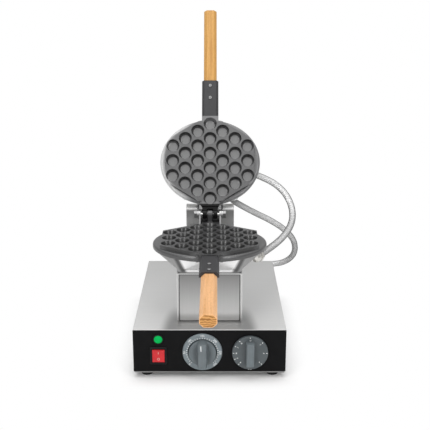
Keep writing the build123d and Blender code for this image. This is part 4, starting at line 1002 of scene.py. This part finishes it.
def cross_screw(radius, height, shank_radius, shank):
    """A pan head with a cross recess: the dome's height falls where the point is near either arm of the
    cross; below it the rim and the shank."""
    r = np.r_[np.linspace(0.02, 0.72, 10), np.linspace(0.78, 1.0, 5)] * radius
    angle = np.linspace(0, 2 * np.pi, 48, endpoint=False)
    rr, aa = np.meshgrid(r, angle, indexing="ij")
    dome = height * (0.55 + 0.45 * np.sqrt(np.clip(1 - (rr / radius) ** 2, 0, 1)))
    x, y = np.abs(rr * np.cos(aa)), np.abs(rr * np.sin(aa))
    arm = np.minimum(x, y) < radius * 0.13
    inside = np.maximum(x, y) < radius * 0.58
    dome = dome - np.where(arm & inside, height * 0.42, 0)
    top = surface(np.stack([rr * np.cos(aa), rr * np.sin(aa), dome], -1), close_columns=True)
    head = [(radius, height * 0.55), (radius, height * 0.12), (radius * 0.96, 0)]
    side = lathe(head + [(shank_radius, 0), (shank_radius, -shank), (0.02, -shank)], 48)
    centre = lathe([(0.001, dome[0, 0]), (r[0], dome[0, 0])], 48)
    return [top, side, centre]


def screws_at(places, radius, height, shank_radius, shank):
    """Like screws at (point, outward direction) places, each turned a little differently."""
    out = []
    for k, (point, direction) in enumerate(places):
        out += joined(cross_screw(radius, height, shank_radius, shank), towards(point, direction, 0.4 + 0.9 * k))
    return out


def pan_point(place, x, y, z):
    """A point of a pan's own frame in the row frame."""
    return (place @ np.array([x, y, z, 1.0]))[:3]


def pan_way(place, x, y, z):
    """A direction of a pan's own frame in the row frame."""
    return place[:3, :3] @ np.array([x, y, z], float)


class WAFFLE_OT_fasteners(Operator):
    """Cross-head screws of the grips, the pedestal and the lid stop"""

    bl_idname = "waffle.fasteners"
    bl_label = "Fasteners"

    def execute(self, context):
        for side, place, body in (("lower", LOWER, "base"), ("upper", LID, "lid")):
            up = pan_way(place, 0, 0, 1)
            spots = [(pan_point(place, 0, -y, -2.5), up) for y in (224.0, 248.5)]
            screws = build(side + "_grip_screws", screws_at(spots, 3.0, 1.8, 2.0, 10), FINISH["grip_screw"], 30)
            give(screws, body, "fastener_steel", side + "_handle_screws")
        pedestal_y, spread, flange_top = -70.5, 130 / 3, BASE_TOP + 2.0
        pedestal = [(x, pedestal_y + y) for x in (-45.0, 45.0) for y in (-spread, spread)]
        for name, stood_for, places in (
            ("pedestal_foot_screws", "pedestal_screws", pedestal),
            ("stop_foot_screws", "lid_stop_screws", [(x, 64.4) for x in (-26.0, 0.0, 26.0)]),
        ):
            spots = [((x, y, flange_top), (0, 0, 1)) for x, y in places]
            screws = build(name, screws_at(spots, 3.6, 2.2, 2.0, 9), FINISH["screw"], 30)
            give(screws, "base", "fastener_steel", stood_for)
        return {"FINISHED"}


# Dials


def clock(x, z, radius, degrees):
    """A point on a dial's face by its clock angle, seen from the front."""
    a = math.radians(degrees)
    return x + radius * math.sin(a), z + radius * math.cos(a)


def words(text, size, x, z, degrees, y):
    """Thin figures that stand on a face towards the front, upright at the top of the dial and turned with
    the clock angle."""
    curve = bpy.data.curves.new("figures", "FONT")
    curve.body = text
    curve.size = size
    curve.align_x = curve.align_y = "CENTER"
    curve.resolution_u = 3
    curve.extrude = 0.06
    curve.offset = 0.012
    return moved(as_mesh("figures", curve), facing(x, y, z) @ turn("Z", -math.radians(degrees)))


def bar_mark(x, z, y, degrees, inner, outer, width):
    """A thin radial bar on a face: four corners in front, four behind."""
    a = math.radians(degrees)
    out = np.array([math.sin(a), math.cos(a)])
    across = np.array([math.cos(a), -math.sin(a)]) * width / 2
    corners = ((inner, -1), (outer, -1), (outer, 1), (inner, 1))
    flat = [np.array([x, z]) + out * reach + across * side for reach, side in corners]
    points = [(p[0], y + depth, p[1]) for depth in (-0.06, 0.06) for p in flat]
    faces = [[0, 1, 2, 3], [7, 6, 5, 4], [0, 4, 5, 1], [1, 5, 6, 2], [2, 6, 7, 3], [3, 7, 4, 0]]
    return np.array(points), faces


def marking_mesh(name, parts, finish):
    """One mesh of figures and bars in a marking finish."""
    verts, faces, start = [], [], 0
    for v, f in parts:
        verts.append(v)
        faces += [[k + start for k in face] for face in f]
        start += len(v)
    mesh = bpy.data.meshes.new(name)
    mesh.from_pydata((np.concatenate(verts) * MM).tolist(), [], faces)
    mesh.materials.append(FINISH[finish])
    mesh.update()
    return linked(name, mesh)


def smooth(t):
    """0 below 0, 1 above 1, and an even curve between."""
    t = np.clip(t, 0, 1)
    return t * t * (3 - 2 * t)


def turned_knob(radius, skirt, grip, width, length, dish, taper):
    """A knob's face as heights over a disc, with X across and Y up and Z to the front: a dished skirt with a
    rounded rim, and a bar with a flat front and sloping sides; then the rim and the back."""
    flanks = [np.linspace(a, b, 16) * width / 2 / radius for a, b in ((-1.35, -0.75), (0.75, 1.35))]
    edge = np.r_[np.linspace(-1, 1, 61), flanks[0], flanks[1]]
    x = np.unique(np.round(np.sin(np.clip(edge, -1, 1) * math.pi / 2), 5)) * radius
    near = np.unique(np.round(np.r_[np.linspace(-width * 0.75, width * 0.75, 60), x], 4))
    x = near[(near >= -radius) & (near <= radius)]
    v = np.sin(np.linspace(-1, 1, 121) * math.pi / 2)
    xx = np.repeat(x[:, None], len(v), axis=1)
    zz = v[None, :] * np.sqrt(np.clip(radius**2 - x[:, None] ** 2, 0, None))
    r = np.hypot(xx, zz)
    rim = 1.4
    face = skirt - dish * smooth((radius - 2.5 - r) / (radius * 0.5))
    face = face - rim * (1 - np.sqrt(np.clip(1 - np.clip((r - radius + rim) / rim, 0, 1) ** 2, 0, 1)))
    side = smooth((width / 2 + taper - np.abs(xx)) / taper)
    ends = smooth((length / 2 + 0.2 - np.abs(zz)) / 1.6)
    crown = 0.9 * smooth((width / 2 - np.abs(xx)) / 1.4) - 0.9
    inside = smooth((radius + 0.05 - r) / 0.8)
    height = face + (grip + crown * ends - face) * side * np.maximum(ends * inside, 0)
    front = surface(np.stack([xx, zz, height], -1))
    wall = lathe([(radius, skirt - rim), (radius, 0), (radius - 1, 0), (0.02, 0)], 128)
    ring = lathe([(radius, skirt - rim), (radius * 0.999, skirt - rim)], 128)
    return [front, wall, ring]


def facing(x, y, z):
    """Place of a control on the panel: its own Z to the front and its own Y up."""
    return shift(x, y, z) @ turn("X", math.pi / 2)


class WAFFLE_OT_thermostat(Operator):
    """Thermostat knob, its white pointer and the numbered scale ring"""

    bl_idname = "waffle.thermostat"
    bl_label = "Thermostat"

    def execute(self, context):
        x, z = THERMOSTAT_X, DIAL_Z
        shape = turned_knob(radius=22.6, skirt=7.0, grip=18.0, width=12.6, length=45.2, dish=2.2, taper=2.2)
        knob = build("thermostat_grip", joined(shape, facing(x, KNOB_BACK, z)), FINISH["knob"], 60)
        give(knob, "thermostat_control", "dial_grey", "thermostat_knob")
        pointer = bar_mark(x - 1.6, z, KNOB_BACK - 18.02, -2, 9.5, 19, 1.3)
        pointer = marking_mesh("thermostat_pointer", [pointer], "marking")
        give(pointer, "thermostat_control", "scale_ring_grey")
        face, first = FRONT - 3.02, -135
        parts = []
        for k in range(7):
            angle = first + 45 * k
            parts.append(words(str(50 * k), 4.6, *clock(x, z, 29.3, angle), angle, face))
        parts += [bar_mark(x, z, face, first + 9 * k, 24.5, 26.6, 0.9) for k in range(31)]
        give(marking_mesh("thermostat_numbers", parts, "marking"), "base", "scale_ring_grey")
        profile = [(23.8, 0), (23.8, 2.7), (24.1, 3.0), (30.6, 3.0)] + arc(30.6, 1.4, 1.6, 80, 10, 6)
        ring = lathe(profile + [(32.6, 0.9), (32.6, 0), (23.8, 0)], 128)
        ring = build("thermostat_ring", [moved(ring, facing(x, FRONT, z))], FINISH["ring"], 30)
        give(ring, "base", "scale_ring_grey", "thermostat_scale_ring")
        return {"FINISHED"}


class WAFFLE_OT_timer(Operator):
    """Timer dial with its numbers, and the index mark on the panel"""

    bl_idname = "waffle.timer"
    bl_label = "Timer"

    def execute(self, context):
        x, z = TIMER_X, DIAL_Z
        shape = turned_knob(radius=29.4, skirt=5.0, grip=16.0, width=11.6, length=42.0, dish=0.8, taper=2.0)
        knob = build("timer_grip", joined(shape, facing(x, KNOB_BACK, z)), FINISH["dial"], 60)
        give(knob, "timer_control", "dial_grey", "timer_knob")
        face = KNOB_BACK - 4.95
        parts = []
        for number, angle in enumerate((0, 47, 90, 136, 223, 247, 270, 297, 321)):
            parts.append(bar_mark(x, z, face, angle, 26.0, 28.0, 1.0))
            parts.append(words(str(number), 5.0, *clock(x, z, 22.8, angle), angle, face + 0.1))
        give(marking_mesh("timer_numbers", parts, "marking"), "timer_control", "dial_grey")
        index = [bar_mark(x + side, z - 31.6, FRONT - 0.05, 0, -0.8, 0.8, 2.0) for side in (-1.8, 1.8)]
        give(marking_mesh("timer_index", index, "marking"), "base", "black_fascia")
        return {"FINISHED"}


class WAFFLE_OT_lamp_and_switch(Operator):
    """Green lamp lens, and the red rocker with its two marks"""

    bl_idname = "waffle.lamp_and_switch"
    bl_label = "Lamp and switch"

    def execute(self, context):
        self.lens(context)
        self.rocker()
        return {"FINISHED"}

    def lens(self, context):
        """A low dome with fine rings inside its rim: height falls with the radius, with small ripples."""
        m = material("green_lens_glow", context.scene.waffle_colours.lamp, 0.35, specular=0.06)
        spots = node(m, "ShaderNodeTexVoronoi", Scale=420.0)
        link(m, placed(m), spots.inputs["Vector"])
        glow = ramp(m, spots.outputs["Distance"], [(0.0, (0.002, 0.42, 0.09)), (0.8, (0.001, 0.33, 0.065))])
        set_base(m, glow)
        link(m, glow, inputs_of(m)["Emission Color"])
        inputs_of(m)["Emission Strength"].default_value = 0.2
        bump(m, spots.outputs["Distance"], 0.15, 0.4)
        radius = 6.95
        r = np.linspace(0.02, 1, 22) * radius
        rise = 3.7 * np.sqrt(np.clip(1 - (r / 7.6) ** 2, 0, 1)) - 1.2 + 0.06 * np.cos(r * 5)
        profile = list(zip(r, rise)) + [(radius, -1.0), (0.02, -1.0)]
        lens = build("lamp_dome", [moved(lathe(profile, 64), facing(LAMP_X, FRONT - 1.1, LAMP_Z))], m, 40)
        give(lens, "base", "green_lens", "lamp_lens")

    def rocker(self):
        """Two hollowed faces that meet at the middle: each face is an arc seen from the side, carried across
        with rounded long edges."""
        side = 10.2
        z = np.linspace(-1, 1, 49)
        low = 2.75 - 0.5 * np.sin(np.clip(-z, 0, 1) * math.pi)
        high = 2.75 + 2.25 * np.clip(z, 0, 1) - 0.5 * np.sin(np.clip(z, 0, 1) * math.pi)
        out = np.where(z < 0, low, high)
        x = np.linspace(-1, 1, 33)
        edge = 0.9 * (1 - np.sqrt(np.clip(1 - np.clip((np.abs(x) - 0.9) / 0.1, 0, 1) ** 2, 0, 1)))
        end = 0.8 * (1 - np.sqrt(np.clip(1 - np.clip((np.abs(z) - 0.93) / 0.07, 0, 1) ** 2, 0, 1)))
        height = out[:, None] - edge[None, :] - end[:, None]
        reach = np.where(z > 0, 10.7, 11.4)
        xx = np.repeat(x[None, :] * side, len(z), axis=0)
        zz = np.repeat((z * reach)[:, None], len(x), axis=1)
        grids = [np.stack([xx, zz, h], -1) for h in (height, np.full_like(height, -1.1))]
        shape = [surface(g) for g in grids]
        shape += [surface(np.array([g[:, k] for g in grids])) for k in (0, -1)]
        shape += [surface(np.array([g[k] for g in grids])) for k in (0, -1)]
        shape = joined(shape, facing(SWITCH_X, FRONT, SWITCH_Z))
        rocker = build("rocker_paddle", shape, FINISH["rocker"], 40)
        give(rocker, "rocker", "red_plastic", "power_rocker")
        bar_z = SWITCH_Z + 5.6
        bar, faces = bar_mark(SWITCH_X, bar_z, FRONT - 3.75, 0, -2.1, 2.1, 0.9)
        bar[:, 1] -= (bar[:, 2] - bar_z) * math.tan(ROCKER_TILT)
        ring = lathe([(1.5, 0), (2.2, 0), (2.2, 0.1), (1.5, 0.1), (1.5, 0)], 40)
        ring = moved(ring, facing(SWITCH_X, FRONT - 2.3, SWITCH_Z - 5.8))
        marks = marking_mesh("rocker_marks", [(bar, faces), (ring[0], ring[1].tolist())], "rocker_mark")
        give(marks, "rocker", "red_plastic")


# Panel and registration


class WAFFLE_PT_panel(Panel):
    """The waffle maker's pieces"""

    bl_label = "Bubble waffle maker"
    bl_idname = "WAFFLE_PT_panel"
    bl_space_type = "VIEW_3D"
    bl_region_type = "UI"
    bl_category = "Waffle maker"

    def draw(self, context):
        column = self.layout.column()
        for operator in OPERATORS:
            column.operator(operator.bl_idname)
        for group in (context.scene.waffle_sizes, context.scene.waffle_colours):
            for name in group.__annotations__:
                column.prop(group, name)


OPERATORS = (
    WAFFLE_OT_stage,
    WAFFLE_OT_finishes,
    WAFFLE_OT_hoses,
    WAFFLE_OT_grips,
    WAFFLE_OT_fasteners,
    WAFFLE_OT_thermostat,
    WAFFLE_OT_timer,
    WAFFLE_OT_lamp_and_switch,
)
CLASSES = (SizeSettings, ColourSettings) + OPERATORS + (WAFFLE_PT_panel,)


def register():
    for kind in CLASSES:
        bpy.utils.register_class(kind)
    bpy.types.Scene.waffle_sizes = PointerProperty(type=SizeSettings)
    bpy.types.Scene.waffle_colours = PointerProperty(type=ColourSettings)


def unregister():
    del bpy.types.Scene.waffle_colours
    del bpy.types.Scene.waffle_sizes
    for kind in reversed(CLASSES):
        bpy.utils.unregister_class(kind)


def main():
    """Builds everything."""
    register()
    for operator in OPERATORS:
        group, name = operator.bl_idname.split(".")
        getattr(getattr(bpy.ops, group), name)()
    bpy.context.view_layer.update()


if __name__ == "__main__":
    main()
